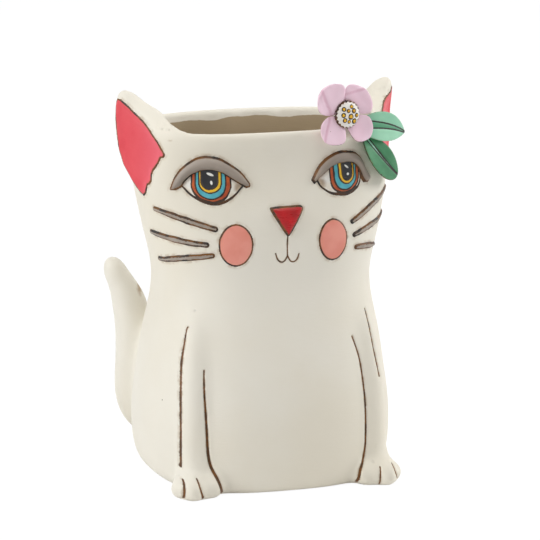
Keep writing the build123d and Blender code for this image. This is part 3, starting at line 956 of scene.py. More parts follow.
def closePiece(piece, outward, thickness, keepGap, cutGap=-0.75):
    corners = [max(keepGap[v] for v in face.vertices) for face in piece.data.polygons]
    selectFaces(piece, np.array(corners) < cutGap)
    makeActive(piece)
    bpy.context.tool_settings.mesh_select_mode = (False, False, True)
    bpy.ops.object.mode_set(mode="EDIT")
    bpy.ops.mesh.delete(type="FACE")
    bpy.ops.object.mode_set(mode="OBJECT")
    lean = sum((face.normal.dot(outward) * face.area for face in piece.data.polygons), 0.0)
    if lean < 0:
        bpy.ops.object.mode_set(mode="EDIT")
        bpy.ops.mesh.select_all(action="SELECT")
        bpy.ops.mesh.flip_normals()
        bpy.ops.object.mode_set(mode="OBJECT")
    applyModifier(piece, "SOLIDIFY", thickness=thickness * mm, offset=-1)
    bpy.ops.object.shade_smooth()


def layPatch(name, tree, face, box, step, field, thickness=0.8):
    (lowU, lowV), (highU, highV) = box
    columns, rows = int((highU - lowU) / step), int((highV - lowV) / step)
    piece, order, (across, up) = gridPiece(name, columns, rows)
    u, v = np.meshgrid(np.linspace(lowU, highU, across), np.linspace(lowV, highV, up))
    places = np.stack([u.ravel(), v.ravel()], 1)
    points = castOn(tree, face, places) / mm
    axes = [np.array(face[k]) for k in ("u", "v", "out")]
    base = np.array(face["origin"]) / mm
    depth = softenGrid(((points - base) @ axes[2]).reshape(up, across), 4)
    slopeV, slopeU = np.gradient(depth, v[:, 0], u[0])
    normals = axes[2] - slopeU[..., None] * axes[0] - slopeV[..., None] * axes[1]
    normals /= np.linalg.norm(normals, axis=2, keepdims=True)
    gap, height = field(places)
    where = base + u[..., None] * axes[0] + v[..., None] * axes[1] + depth[..., None] * axes[2]
    where = where.reshape(-1, 3) + normals.reshape(-1, 3) * height[:, None]
    placed, gaps = np.empty_like(where), np.empty(len(gap))
    placed[order], gaps[order] = where * mm, gap
    setPoints(piece, placed)
    setAttribute(piece, "edgeGap", gaps)
    closePiece(piece, face["out"], thickness, gaps)
    return piece


footHeight, skirtSlope = 0.18, 2.2


def withSkirt(gap, top, foot, lip, slope=skirtSlope):
    # past its lip a piece dives into the body
    return np.where(gap > -lip, top, foot + (gap + lip) * slope)


def reliefHeight(gap, height, rounding, lip=0.45):
    rise = np.clip(gap / rounding, 0, 1)
    crown = height * np.sqrt(1 - (1 - rise) ** 2)
    return withSkirt(gap, footHeight + crown, footHeight, lip)


trimPieces = []


def finishPiece(piece, node, material):
    trimPieces.append(piece)
    piece.data.materials.clear()
    piece.data.materials.append(material)
    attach(piece, "pot")
    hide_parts(node)


def boxAround(outline, margin):
    return (outline.min(axis=0) - margin, outline.max(axis=0) + margin)


# Face: lids, eyes with their rings, cheeks, nose and whiskers

faceSettings = {
    "left": {
        "lidTop": ((51.6, 169.8), (52.9, 172.6), (50.6, 176.8), (48.3, 181.2), (44.9, 185.4), (40.6, 187.8),
                   (34.1, 188.6), (28.6, 187.1), (23.9, 184.2), (19.6, 179.6), (16.2, 173.8)),
        "lidEdge": ((17.7, 171.9), (20.3, 174.2), (23.4, 176.6), (27.4, 179.6), (30.9, 181.4), (34.1, 182.0),
                    (40.3, 181.6), (43.6, 179.4), (45.6, 176.2), (47.0, 172.8), (48.9, 170.0)),
        "floor": ((46.6, 173.4), (45.4, 169.0), (42.6, 166.2), (38.8, 164.6), (35.1, 164.3), (29.5, 165.1),
                  (25.7, 166.7), (21.6, 169.8), (19.4, 173.4)),
        # middle, half width and half height
        "rings": {"outer": (36.0, 174.2, 9.4, 9.6), "middle": (36.1, 174.6, 7.4, 7.9),
                  "inner": (36.7, 175.6, 5.1, 5.5)},
        "pupil": (36.9, 176.2, 3.4, 4.2),
        "glints": ((37.1, 180.0, 1.5, 0.50, -38), (37.7, 175.9, 0.72, 0.74, 0)),
        "washShadeCorner": (20.4, 171.6), "cheek": (27.7, 140.3, 8.6, 11.4), "seed": 1,
        "whiskers": {
            "top": ((40.3, 149.1), (48.4, 153.2), (55.7, 156.8), (62.9, 160.2), (68.0, 163.4)),
            "middle": ((41.6, 141.4), (47.6, 143.3), (53.5, 145.2), (60.7, 147.0), (65.4, 149.4)),
            "bottom": ((43.0, 134.2), (50.6, 133.6), (58.6, 132.2)),
        },
    },
    "right": {
        "lidTop": ((-60.9, 170.2), (-59.0, 176.3), (-56.0, 181.8), (-52.1, 185.7), (-47.3, 188.4),
                   (-42.6, 189.1), (-37.9, 188.4), (-32.7, 186.0), (-26.8, 182.0), (-23.3, 178.4),
                   (-19.9, 173.6), (-20.1, 172.0)),
        "lidEdge": ((-21.8, 171.7), (-24.2, 173.0), (-28.7, 175.8), (-32.5, 178.3), (-35.2, 180.0),
                    (-39.9, 181.2), (-44.6, 181.4), (-48.6, 180.0), (-51.5, 177.9), (-53.7, 175.6),
                    (-55.6, 172.6), (-58.6, 170.5)),
        "floor": ((-56.2, 173.6), (-52.3, 168.8), (-48.9, 166.2), (-44.5, 163.8), (-39.9, 162.7),
                  (-35.1, 163.4), (-31.3, 165.4), (-27.9, 168.1), (-25.0, 171.0), (-22.6, 173.6)),
        "rings": {"outer": (-40.5, 173.8, 10.5, 10.8), "middle": (-40.9, 174.0, 8.2, 8.8),
                  "inner": (-41.2, 175.2, 6.1, 6.5)},
        "pupil": (-41.5, 175.9, 4.6, 5.1),
        "glints": ((-41.6, 179.5, 1.9, 0.72, -22), (-41.2, 175.0, 0.62, 1.15, 8)),
        "washShadeCorner": (-24.4, 171.9), "cheek": (-28.6, 140.2, 9.1, 11.5), "seed": 2,
        "whiskers": {
            "top": ((-39.6, 149.2), (-49.7, 152.4), (-57.5, 154.9), (-63.3, 156.8), (-67.0, 158.0)),
            "middle": ((-44.0, 140.4), (-51.2, 141.0), (-57.4, 142.0), (-62.6, 142.9), (-66.2, 143.5)),
            "bottom": ((-41.2, 134.4), (-48.2, 133.2), (-53.6, 132.2), (-58.7, 130.6), (-62.3, 128.4)),
        },
    },
    "lidHeight": 2.9, "lidRound": 4.2, "underLid": 2.0,
    "eyeBulge": 1.3, "bulgeRun": 9, "eyeBase": 0.25, "ringStep": 0.16, "ringSkirt": 2.5, "ringLip": 0.3,
    "floorInk": 0.75, "floorInkSpread": (0.2, 1.55), "floorInkDrop": (0.75, 0.2), "floorInkReach": 2.5,
    "washShadeReach": 3.4, "washShadeSquash": 0.8,
    "noseOutline": ((-8.4, 158.8), (-7.6, 159.9), (-1.3, 160.2), (6.0, 160.3), (9.0, 159.9), (9.4, 158.2),
                    (6.6, 152.8), (2.2, 146.0), (0.9, 144.6), (-0.5, 145.8), (-4.6, 152.2)),
    "noseHeight": 2.3, "noseRound": 3.6, "cheekHeight": 0.35, "cheekRound": 1.6,
    # how far apart the points of each patch lie
    "steps": {"eye": 0.42, "ring": 0.36, "pupil": 0.26, "lid": 0.42, "cheek": 0.45, "nose": 0.35},
}


def ovalOutline(oval, steps=64):
    x, z, wide, high = oval
    turns = np.arange(steps) * math.tau / steps
    return np.stack([x + wide * np.cos(turns), z + high * np.sin(turns)], 1)


def glintGap(places, glints):
    best = np.full(len(places), clearGap)
    for x, z, wide, high, tilt in glints:
        turn = math.radians(tilt)
        dx, dz = places[:, 0] - x, places[:, 1] - z
        along = dx * math.cos(turn) + dz * math.sin(turn)
        across = dz * math.cos(turn) - dx * math.sin(turn)
        best = np.minimum(best, (np.sqrt((along / wide) ** 2 + (across / high) ** 2) - 1) * min(wide, high))
    return best


def addGlints(tree, place, base):
    shine = rangeNode(tree, readAttribute(tree, "glintGap"), -0.08, 0.10, 1.0, 0.0)
    return mixColour(tree, shine, base, fromScreen(240, 240, 236))


def washAndShadeUnderLid(tree, place, base):
    # brown wash and painted shade on the white, under the lid's edge and in the inner corner
    gap = swingGap(tree, place, readAttribute(tree, "lidGap"), 420.0, 2.2)
    return mixColour(tree, rangeNode(tree, gap, -1.3, 2.2, 0.72, 0.0), base, fromScreen(140, 104, 60))


def lidPaintedShadeAndHighlight(tree, place, base):
    # painted shade darkens the lid towards its lower edge, and a painted highlight lightens it higher up
    low = rangeNode(tree, readAttribute(tree, "lowGap"), 0.2, 3.6, 0.55, 0.0)
    high = rangeNode(tree, readAttribute(tree, "lowGap"), 3.0, 6.0, 0.0, 0.35)
    base = mixColour(tree, low, base, fromScreen(116, 104, 93))
    return mixColour(tree, high, base, fromScreen(186, 176, 167))


eyePaints = {
    "white": makePaint(
        "eyeWhitePaint", (247, 245, 240), (240, 233, 219), inkWidth=0.42, gloss=0.36, cloudSize=120,
        ragged=0.35, extra=washAndShadeUnderLid, halo=2.2, wash=0.6, brownShare=0.45),
    "outer": makePaint(
        "irisOrangePaint", (204, 98, 44), (176, 68, 28), inkWidth=0.72, gloss=0.34, cloudSize=260,
        ragged=0.3, wash=0.4, brownShare=0.3),
    "middle": makePaint(
        "irisBluePaint", (92, 186, 200), (72, 164, 182), inkWidth=0.76, gloss=0.34, cloudSize=200,
        ragged=0.3, halo=0.5, wash=0.2, brownShare=0.25),
    "inner": makePaint(
        "irisYellowPaint", (248, 202, 54), (238, 182, 42), inkWidth=0.66, gloss=0.34, cloudSize=200,
        ragged=0.3, halo=0.5, wash=0.2, brownShare=0.25),
    "pupil": makePaint(
        "pupilPaint", (38, 38, 42), (26, 26, 30), inkWidth=0.15, gloss=0.20, cloudSize=100, ragged=0.2,
        extra=addGlints),
}
lidPaint = makePaint(
    "lidPaint", (166, 154, 143), (152, 141, 131), inkWidth=0.62, gloss=0.46, cloudSize=60, ragged=0.3,
    extra=lidPaintedShadeAndHighlight)
cheekPaint = makePaint(
    "cheekPaint", (244, 162, 147), (236, 147, 131), inkWidth=0.54, gloss=0.50, cloudSize=60, ragged=0.3)
nosePaint = makePaint(
    "nosePaint", (198, 14, 24), (168, 6, 14), inkWidth=0.66, gloss=0.30, cloudSize=120, ragged=0.3)
whiskerPaint = makePaint(
    "whiskerPaint", (172, 162, 152), (150, 140, 131), inkWidth=0.66, gloss=0.52, cloudSize=120, ragged=0.9)


def frontPlaces(piece):
    return getPoints(piece)[:, (0, 2)] / mm


def makeEye(side, tree, face, settings):
    here, steps = settings[side], settings["steps"]
    seed = here["seed"]
    floor = smoothCurve(here["floor"], 6)
    lidEdge = smoothCurve(here["lidEdge"], 6)
    lid = np.vstack([smoothCurve(here["lidTop"], 6), lidEdge])
    # the white runs on under the lid, up to a crown above the lid's edge
    low, high = sorted((here["floor"][0][0], here["floor"][-1][0]))
    crownHeight = max(z for _, z in here["lidEdge"]) + settings["underLid"]
    crown = [(x, z + settings["underLid"]) for x, z in here["lidEdge"] if low + 0.5 < x < high - 0.5]
    opening = np.vstack([floor, smoothCurve([here["floor"][-1]] + crown + [here["floor"][0]], 6)[1:-1]])

    def ringBox(oval):
        (lowU, lowV), (highU, highV) = boxAround(ovalOutline(oval), 1.2)
        return (lowU, lowV), (highU, max(highV, crownHeight))

    def openGap(places):
        return insideDistance(places, opening) + 0.12 * handWobble(places[:, 0], places[:, 1], 9, seed)

    def eyeHeight(gap):
        return settings["eyeBase"] + settings["eyeBulge"] * smoothStep(0, settings["bulgeRun"], gap)

    def whiteField(places):
        gap = openGap(places)
        return gap, withSkirt(gap, eyeHeight(gap), settings["eyeBase"], 0.5)

    def ringField(oval, level):
        def field(places):
            # the sides run straight up under the lid
            straight = np.stack([places[:, 0], np.minimum(places[:, 1], oval[1])], 1)
            around = insideDistance(straight, ovalOutline(oval))
            around = around + 0.16 * handWobble(places[:, 0], places[:, 1], 6, seed + level)
            inEye = openGap(places)
            gap = np.minimum(around, inEye - 0.3)
            top = eyeHeight(inEye) + settings["ringStep"] * (level - 0.9 + smoothStep(-0.2, 0.5, gap))
            return gap, withSkirt(gap, top, top, settings["ringLip"], settings["ringSkirt"])
        return field

    def lidField(places):
        gap = insideDistance(places, lid) + 0.15 * handWobble(places[:, 0], places[:, 1], 11, seed)
        return gap, reliefHeight(gap, settings["lidHeight"], settings["lidRound"])

    def thickenInk(piece, oval):  # the lower outline is heaviest under the iris
        flat = frontPlaces(piece)
        x, z, wide, high = oval
        lowest, highest = settings["floorInkDrop"]
        near = 1 - smoothStep(*settings["floorInkSpread"], abs(flat[:, 0] - x) / wide)
        under = 1 - smoothStep(z - high * lowest, z - high * highest, flat[:, 1])
        gaps = np.empty(len(flat))
        piece.data.attributes["edgeGap"].data.foreach_get("value", gaps)
        inEye = openGap(flat)
        gaps = np.minimum(gaps, np.maximum(inEye, 0))
        thicker = gaps - settings["floorInk"] * near * under
        setAttribute(piece, "edgeGap", np.where(inEye < settings["floorInkReach"], thicker, gaps))

    outer = here["rings"]["outer"]
    piece = layPatch(side + "EyeWhite", tree, face, boxAround(opening, 1.2), steps["eye"], whiteField)
    thickenInk(piece, outer)
    flat = frontPlaces(piece)
    # the wash and painted shade spread from under the lid and from the inner corner
    corner = np.linalg.norm((flat - np.array(here["washShadeCorner"])) / (1.0, settings["washShadeSquash"]), axis=1)
    setAttribute(piece, "lidGap", np.minimum(-insideDistance(flat, lid), corner - settings["washShadeReach"]))
    finishPiece(piece, side + "_eyeball", eyePaints["white"])
    slots = {"outer": "iris_orange", "middle": "iris_blue", "inner": "iris_yellow"}
    for level, ring in enumerate(slots, 1):
        oval = here["rings"][ring]
        name = side + "Iris" + ring.title()
        piece = layPatch(name, tree, face, ringBox(oval), steps["ring"], ringField(oval, level), 0.5)
        thickenInk(piece, outer)
        finishPiece(piece, side + "_iris_" + ring, eyePaints[ring])
    oval = here["pupil"]
    piece = layPatch(side + "PupilPaint", tree, face, ringBox(oval), steps["pupil"], ringField(oval, 4), 0.5)
    setAttribute(piece, "glintGap", glintGap(frontPlaces(piece), here["glints"]))
    finishPiece(piece, side + "_pupil", eyePaints["pupil"])
    piece = layPatch(side + "Lid", tree, face, boxAround(lid, 1.4), steps["lid"], lidField, 1.2)
    setAttribute(piece, "lowGap", distanceToLine(frontPlaces(piece), lidEdge))
    finishPiece(piece, side + "_eyelid", lidPaint)


def makeCheek(side, tree, face, settings):
    oval = settings[side]["cheek"]
    outline = ovalOutline(oval)

    def field(places):
        gap = insideDistance(places, outline) + 0.15 * handWobble(places[:, 0], places[:, 1], 14, 5)
        return gap, reliefHeight(gap, settings["cheekHeight"], settings["cheekRound"], 0.4)

    box = boxAround(outline, 1.4)
    piece = layPatch(side + "CheekPaint", tree, face, box, settings["steps"]["cheek"], field)
    finishPiece(piece, side + "_cheek", cheekPaint)


def makeNose(tree, face, settings):
    outline = smoothCurve(settings["noseOutline"], 5, closed=True)

    def field(places):
        gap = insideDistance(places, outline)
        return gap, reliefHeight(gap, settings["noseHeight"], settings["noseRound"], 0.5)

    piece = layPatch("noseRelief", tree, face, boxAround(outline, 1.4), settings["steps"]["nose"], field)
    finishPiece(piece, "nose", nosePaint)


whiskerSettings = {
    "halfWidth": 1.5, "height": 0.75, "round": 1.0, "lip": 0.35, "border": 1.1, "step": 0.4, "columns": 16,
    "thin": 0.28, "thickest": 0.9, "thickness": 0.7,
}


def alongLine(places, runs, line):
    return np.stack([np.interp(places, runs, line[:, k]) for k in range(3)], 1)


def makeWhisker(side, row, tree, face, settings):
    middle = evenOut(castOn(tree, face, smoothCurve(faceSettings[side]["whiskers"][row])) / mm, 3)
    runs = np.concatenate([[0], np.cumsum(np.linalg.norm(np.diff(middle, axis=0), axis=1))])
    length, half = runs[-1], settings["halfWidth"]
    margin = half + settings["border"]
    along = np.arange(-margin, length + margin, settings["step"])
    inner = np.clip(along, 0, length)
    ahead = alongLine(np.clip(inner + 0.8, 0, length), runs, middle)
    behind = alongLine(np.clip(inner - 0.8, 0, length), runs, middle)
    direction = ahead - behind
    direction /= np.linalg.norm(direction, axis=1, keepdims=True)
    centre = alongLine(inner, runs, middle) + direction * (along - inner)[:, None]
    normals = evenOut(np.array([list(tree.find_nearest(Vector(p * mm))[1]) for p in centre]), 4)
    sideways = np.cross(normals, direction)
    sideways /= np.linalg.norm(sideways, axis=1, keepdims=True)
    name = side + "Whisker" + row.title()
    piece, order, (across, up) = gridPiece(name, settings["columns"], len(along) - 1)
    spread = np.linspace(-margin, margin, across)
    flat = (centre[:, None, :] + sideways[:, None, :] * spread[None, :, None]).reshape(-1, 3)
    found = [tree.find_nearest(Vector(p * mm)) for p in flat]
    surface = np.array([list(f[0]) for f in found]) / mm
    lift = softenGrid(np.array([list(f[1]) for f in found]).reshape(up, across, 3), 3).reshape(-1, 3)
    lift /= np.linalg.norm(lift, axis=1, keepdims=True)
    beyond = np.repeat(along - inner, across)
    middleShare = np.repeat(np.clip(inner / length, 0, 1), across)
    taper = 1 - settings["thin"] * abs(2 * middleShare - settings["thickest"]) ** 1.5
    gap = half * taper - np.hypot(np.tile(spread, up), beyond)
    gap = gap + 0.16 * handWobble(flat[:, 0], flat[:, 2], 7, len(row))
    height = reliefHeight(gap, settings["height"], settings["round"], settings["lip"])
    where = surface + lift * height[:, None]
    placed, gaps = np.empty_like(where), np.empty(len(gap))
    placed[order], gaps[order] = where * mm, gap
    setPoints(piece, placed)
    setAttribute(piece, "edgeGap", gaps)
    closePiece(piece, Vector(normals[len(normals) // 2]), settings["thickness"], gaps)
    finishPiece(piece, side + "_whisker_" + row, whiskerPaint)


bodyTree = surfaceTree(body)
for side in ("left", "right"):
    makeEye(side, bodyTree, frontFace, faceSettings)
    makeCheek(side, bodyTree, frontFace, faceSettings)
    for row in ("top", "middle", "bottom"):
        makeWhisker(side, row, bodyTree, frontFace, whiskerSettings)
makeNose(bodyTree, frontFace, faceSettings)
print("face is made")


# Red lining painted in the hollow of each ear

liningSettings = {
    # the paler pink is painted light: the lining gets lighter towards the front of the hollow
    "red": (226, 70, 82), "shade": (234, 86, 96), "litPink": (242, 108, 124), "litPinkShare": 0.75,
    "height": 0.30, "lift": 0.25, "lip": 0.45, "step": 0.6, "faceWidth": 38,
}


def makeLining(side, sign, tree, settings):
    face = earFace(sign)
    outline = earOutline(sign, earSettings)

    def field(places):
        gap = insideDistance(places, outline) + 0.10 * handWobble(places[:, 0], places[:, 1], 7, 4)
        raised = settings["lift"] + settings["height"] * smoothStep(0, 1, gap)
        return gap, withSkirt(gap, raised, settings["lift"], settings["lip"])

    piece = layPatch(side + "EarLining", tree, face, boxAround(outline, 1.2), settings["step"], field)
    flat, _ = faceCoordinates(face, getPoints(piece) / mm)
    setAttribute(piece, "frontShare", np.clip(flat[:, 0] / settings["faceWidth"], 0, 1))
    finishPiece(piece, side + "_ear_lining", liningPaint)


def paintedLightTowardsFront(tree, place, base):
    # painted light: paler pink towards the front of the hollow
    pale = rangeNode(tree, readAttribute(tree, "frontShare"), 0.25, 0.95)
    pale = mathNode(tree, "MULTIPLY", pale, liningSettings["litPinkShare"])
    return mixColour(tree, pale, base, fromScreen(*liningSettings["litPink"]))


liningPaint = makePaint(
    "earLiningPaint", liningSettings["red"], liningSettings["shade"], inkWidth=0.58, gloss=0.50, cloudSize=40,
    ragged=0.30, extra=paintedLightTowardsFront)
for side, sign in (("left", 1), ("right", -1)):
    makeLining(side, sign, bodyTree, liningSettings)
print("ear linings are made")


# Flower: four folded petals, a scalloped centre and its seeds

flowerSettings = {
    "centre": (35.2, -45.9, 210.0), "turn": 12.0, "start": 2.6,
    # turn about the centre, length, half width, fold position across, fold depth, tip curl
    "petals": ((138, 22.0, 10.1, 0.62, 1.2, 1.6), (47, 17.8, 10.6, 0.90, 0.6, 1.2),
               (226, 20.2, 8.9, -0.90, 1.0, 1.4), (317, 20.3, 7.6, 0.0, 0.0, 1.5)),
    "cup": 2.2, "rootDip": 0.9, "halfThickness": 1.45, "thinShares": (0.55, 0.45),
    "foldWidth": 0.9, "foldStep": 1.0,
    "discRadius": 7.2, "discHeight": 2.4, "discLift": 1.5, "discBelow": 1.3, "discStretch": (1.04, 1.03),
    "scallops": 20, "scallopDepth": 0.42,
    # across and up from the middle, and size
    "seeds": ((-3.3, 3.3, 1.35), (-0.5, 2.3, 1.2), (1.6, 4.5, 1.2), (3.0, 2.1, 1.45), (-3.6, 0.0, 1.4),
              (1.0, -1.0, 1.65), (4.9, -0.5, 1.3), (-2.7, -2.9, 1.35), (0.0, -3.8, 1.1), (3.4, -3.7, 1.6)),
    "seedShare": 0.60, "seedHeight": 0.75, "seedLump": 0.14,
}


def flowerFrame(settings):
    turn = math.radians(settings["turn"])
    across, up = np.array((math.cos(turn), math.sin(turn), 0)), np.array((0, 0, 1.0))
    return np.array(settings["centre"]), across, up, np.array((math.sin(turn), -math.cos(turn), 0))


def ballPiece(name, around, along):
    deselectAll()
    bpy.ops.mesh.primitive_uv_sphere_add(segments=around, ring_count=along, radius=1)
    piece = bpy.context.object
    piece.name = piece.data.name = name
    points = getPoints(piece)
    share = (points[:, 2] + 1) / 2
    ring = np.hypot(points[:, 0], points[:, 1])
    turn = np.arctan2(points[:, 1], points[:, 0])
    return piece, share, ring, turn


def signedPower(values, power):
    return np.sign(values) * abs(values) ** power


def bladeLift(turn, along, ring, halfThickness, thinShares):
    # the height of the front and back of a petal or leaf over its middle
    atEnd, more = thinShares
    thick = halfThickness * (atEnd + more * np.sin(math.pi * along)) * np.clip(ring * 1.8, 0, 1)
    return signedPower(np.sin(turn), 0.75) * thick


def makePetal(number, settings):
    turnDegrees, length, halfWidth, foldAt, foldDepth, curl = settings["petals"][number - 1]
    piece, share, ring, turn = ballPiece("petal%d" % number, 56, 40)
    centre, xAxis, yAxis, zAxis = flowerFrame(settings)
    direction = math.radians(turnDegrees)
    out = xAxis * math.cos(direction) + yAxis * math.sin(direction)
    across = np.cross(zAxis, out)
    along = (1 - np.cos(math.pi * share)) / 2
    isFront = np.sin(turn) > 0
    # its outline, blunt at the tip and a little wavy
    width = halfWidth * np.sin(math.pi * np.clip(along, 0, 1) ** 1.18) ** 0.62
    width = width * np.clip(ring * 2.2, 0, 1) + 0.01
    width = width * (1 + 0.035 * np.sin(turn * 3 + along * 9 + number))
    side = np.cos(turn) * width
    # cupped across, curled at the tip, sunk at the root
    cup = settings["cup"] * (side / halfWidth) ** 2 * smoothStep(0.1, 0.6, along)
    cup = cup + curl * smoothStep(0.55, 1.0, along) - settings["rootDip"] * (1 - smoothStep(0.0, 0.3, along))
    # a fold from beside the centre towards the middle of the tip, with the outer part a step lower
    foldLine = foldAt * halfWidth * (1.25 - 1.15 * along)
    foldGap = abs(side - foldLine)
    fold = foldDepth * np.exp(-(foldGap / settings["foldWidth"]) ** 2)
    fold = fold * smoothStep(0.05, 0.3, along) * (1 - smoothStep(0.72, 0.96, along))
    lift = bladeLift(turn, along, ring, settings["halfThickness"], settings["thinShares"])
    lift = lift + cup - np.where(isFront, fold, 0)
    if foldDepth:
        outerSide = np.sign(foldAt) * (side - foldLine) > 0
        lift = lift - np.where(outerSide, settings["foldStep"] * smoothStep(0, 2.6, foldGap), 0)
    reach = settings["start"] + along * (length - settings["start"])
    points = centre + out * reach[:, None] + across * side[:, None] + zAxis * lift[:, None]
    setPoints(piece, points * mm)
    base = abs(np.hypot(reach, side) - settings["discRadius"] - 0.2) + 0.1
    lowSide = np.clip(-across[2] * np.cos(turn) - out[2] * smoothStep(0.6, 1.0, along), 0, 1)
    # a brown line round the back of the edge, and in front of it underneath
    rim = abs(np.sin(turn) + 0.42 - 0.36 * lowSide) * 1.9 + 0.25 * (1 - lowSide)
    gap = np.minimum(np.where(isFront, base, clearGap), np.where(along > 0.25, rim, clearGap))
    setAttribute(piece, "edgeGap", gap)
    setAttribute(piece, "foldGap", np.where(foldDepth > 0, foldGap, clearGap))
    setAttribute(piece, "edgeShare", np.clip(abs(np.cos(turn)) * np.clip(along * 1.2, 0, 1), 0, 1))
    turnOutwards(piece)
    applyModifier(piece, "SMOOTH", factor=0.5, iterations=2)
    bpy.ops.object.shade_smooth()
    finishPiece(piece, "petal_%d" % number, petalPaint)


def petalFoldShadeAndPaleEdge(tree, place, base):
    # painted shade: darker pink along the fold's crease; the side edges are made paler
    fold = rangeNode(tree, readAttribute(tree, "foldGap"), 0.0, 1.6, 0.5, 0.0)
    base = mixColour(tree, fold, base, fromScreen(222, 160, 187))
    pale = rangeNode(tree, readAttribute(tree, "edgeShare"), 0.80, 1.0, 0.0, 0.55)
    return mixColour(tree, pale, base, fromScreen(247, 216, 232))


def makeDisc(settings):
    piece, share, ring, turn = ballPiece("flowerDisc", 84, 44)
    centre, xAxis, yAxis, zAxis = flowerFrame(settings)
    isFront = share > 0.5
    radius = settings["discRadius"] * signedPower(ring, 0.8)
    wave = np.cos(settings["scallops"] * turn) * smoothStep(0.75, 1.0, ring)
    radius = radius * (1 + settings["scallopDepth"] / settings["discRadius"] * wave)
    crown = settings["discHeight"] * np.clip(2 * share - 1, 0, 1) ** 0.9
    height = np.where(isFront, crown, settings["discBelow"] * (2 * share - 1)) + settings["discLift"]
    x = radius * np.cos(turn) * settings["discStretch"][0]
    y = radius * np.sin(turn) * settings["discStretch"][1]
    points = centre + xAxis * x[:, None] + yAxis * y[:, None] + zAxis * height[:, None]
    setPoints(piece, points * mm)
    seedGap = np.min([np.hypot(x - sx, y - sy) - size for sx, sy, size in settings["seeds"]], axis=0)
    setAttribute(piece, "edgeGap", np.where(isFront, (1 - ring) * settings["discRadius"] * 1.6, 0))
    setAttribute(piece, "seedGap", np.where(isFront, seedGap, clearGap))
    makeActive(piece)
    bpy.ops.object.shade_smooth()
    finishPiece(piece, "flower_centre", discPaint)
    return piece


def ringSeeds(tree, place, base):
    swing = mathNode(tree, "MULTIPLY", noiseNode(tree, place, 900.0), 0.3)
    gap = mathNode(tree, "ADD", readAttribute(tree, "seedGap"), swing)
    return mixColour(tree, rangeNode(tree, gap, 0.06, 0.26, 1.0, 0.0), base, blackInk)


def makeSeeds(disc, settings):
    tree = surfaceTree(disc)
    centre, xAxis, yAxis, zAxis = flowerFrame(settings)
    seeds = []
    for i, (x, y, size) in enumerate(settings["seeds"]):
        start = centre + xAxis * x + yAxis * y + zAxis * 30
        spot = np.array(tree.ray_cast(Vector(start * mm), Vector(-zAxis))[0]) / mm
        piece, share, ring, turn = ballPiece("seed%d" % i, 18, 12)
        lump = 1 + settings["seedLump"] * np.sin(3 * turn + i * 2.1)
        radius = size * settings["seedShare"] * ring * lump
        height = (2 * share - 1) * settings["seedHeight"]
        squeeze = 0.85 + 0.1 * (i % 3)
        points = spot + xAxis * (radius * np.cos(turn) * squeeze)[:, None]
        points = points + yAxis * (radius * np.sin(turn))[:, None] + zAxis * height[:, None]
        setPoints(piece, points * mm)
        setAttribute(piece, "edgeGap", (height + 0.2) * 1.3)
        seeds.append(piece)
    whole = joinPieces(seeds, "flowerSeeds")
    bpy.ops.object.shade_smooth()
    finishPiece(whole, "flower_seeds", seedPaint)


petalPaint = makePaint(
    "petalPaint", (255, 224, 241), (252, 216, 234), inkWidth=0.50, gloss=0.50, cloudSize=70, ragged=0.6,
    extra=petalFoldShadeAndPaleEdge)
discPaint = makePaint(
    "discPaint", (251, 249, 245), (242, 237, 229), inkWidth=0.75, gloss=0.50, cloudSize=120, ragged=0.7,
    extra=ringSeeds)
seedPaint = makePaint(
    "seedPaint", (246, 194, 44), (226, 164, 36), inkWidth=0.02, gloss=0.40, cloudSize=300, ragged=0.3)

for number in range(1, len(flowerSettings["petals"]) + 1):
    makePetal(number, flowerSettings)
makeSeeds(makeDisc(flowerSettings), flowerSettings)
print("flower is made")


# Leaves: thick ovals along a bent line, with a painted middle rib

leafSettings = {
    "facing": 38.0, "halfThickness": 1.35, "thinShares": (0.6, 0.4), "cup": 1.6, "crease": 0.55,
    "light": {
        "line": ((44.5, -42.5, 203.2), (61.6, -36.9, 200.3), (78.6, -20.6, 194.0)), "halfWidth": 8.2,
        "blunt": 0.66, "peak": 0.80, "rib": (0.24, 0.05), "ribShift": 0.05, "slot": "leaf_mint",
    },
    "dark": {
        "line": ((47.9, -39.4, 197.0), (57.4, -38.0, 183.8), (72.6, -26.4, 170.9)), "halfWidth": 8.4,
        "blunt": 0.46, "peak": 1.22, "rib": (0.10, 0.03), "ribShift": 0.12, "slot": "leaf_green",
    },
}


def arcThrough(points, shares):
    a, b, c = [np.array(p) for p in points]
    share = np.asarray(shares)[:, None]
    bend = b - (a + c) / 2
    return a * (1 - share) + c * share + bend * 4 * share * (1 - share)


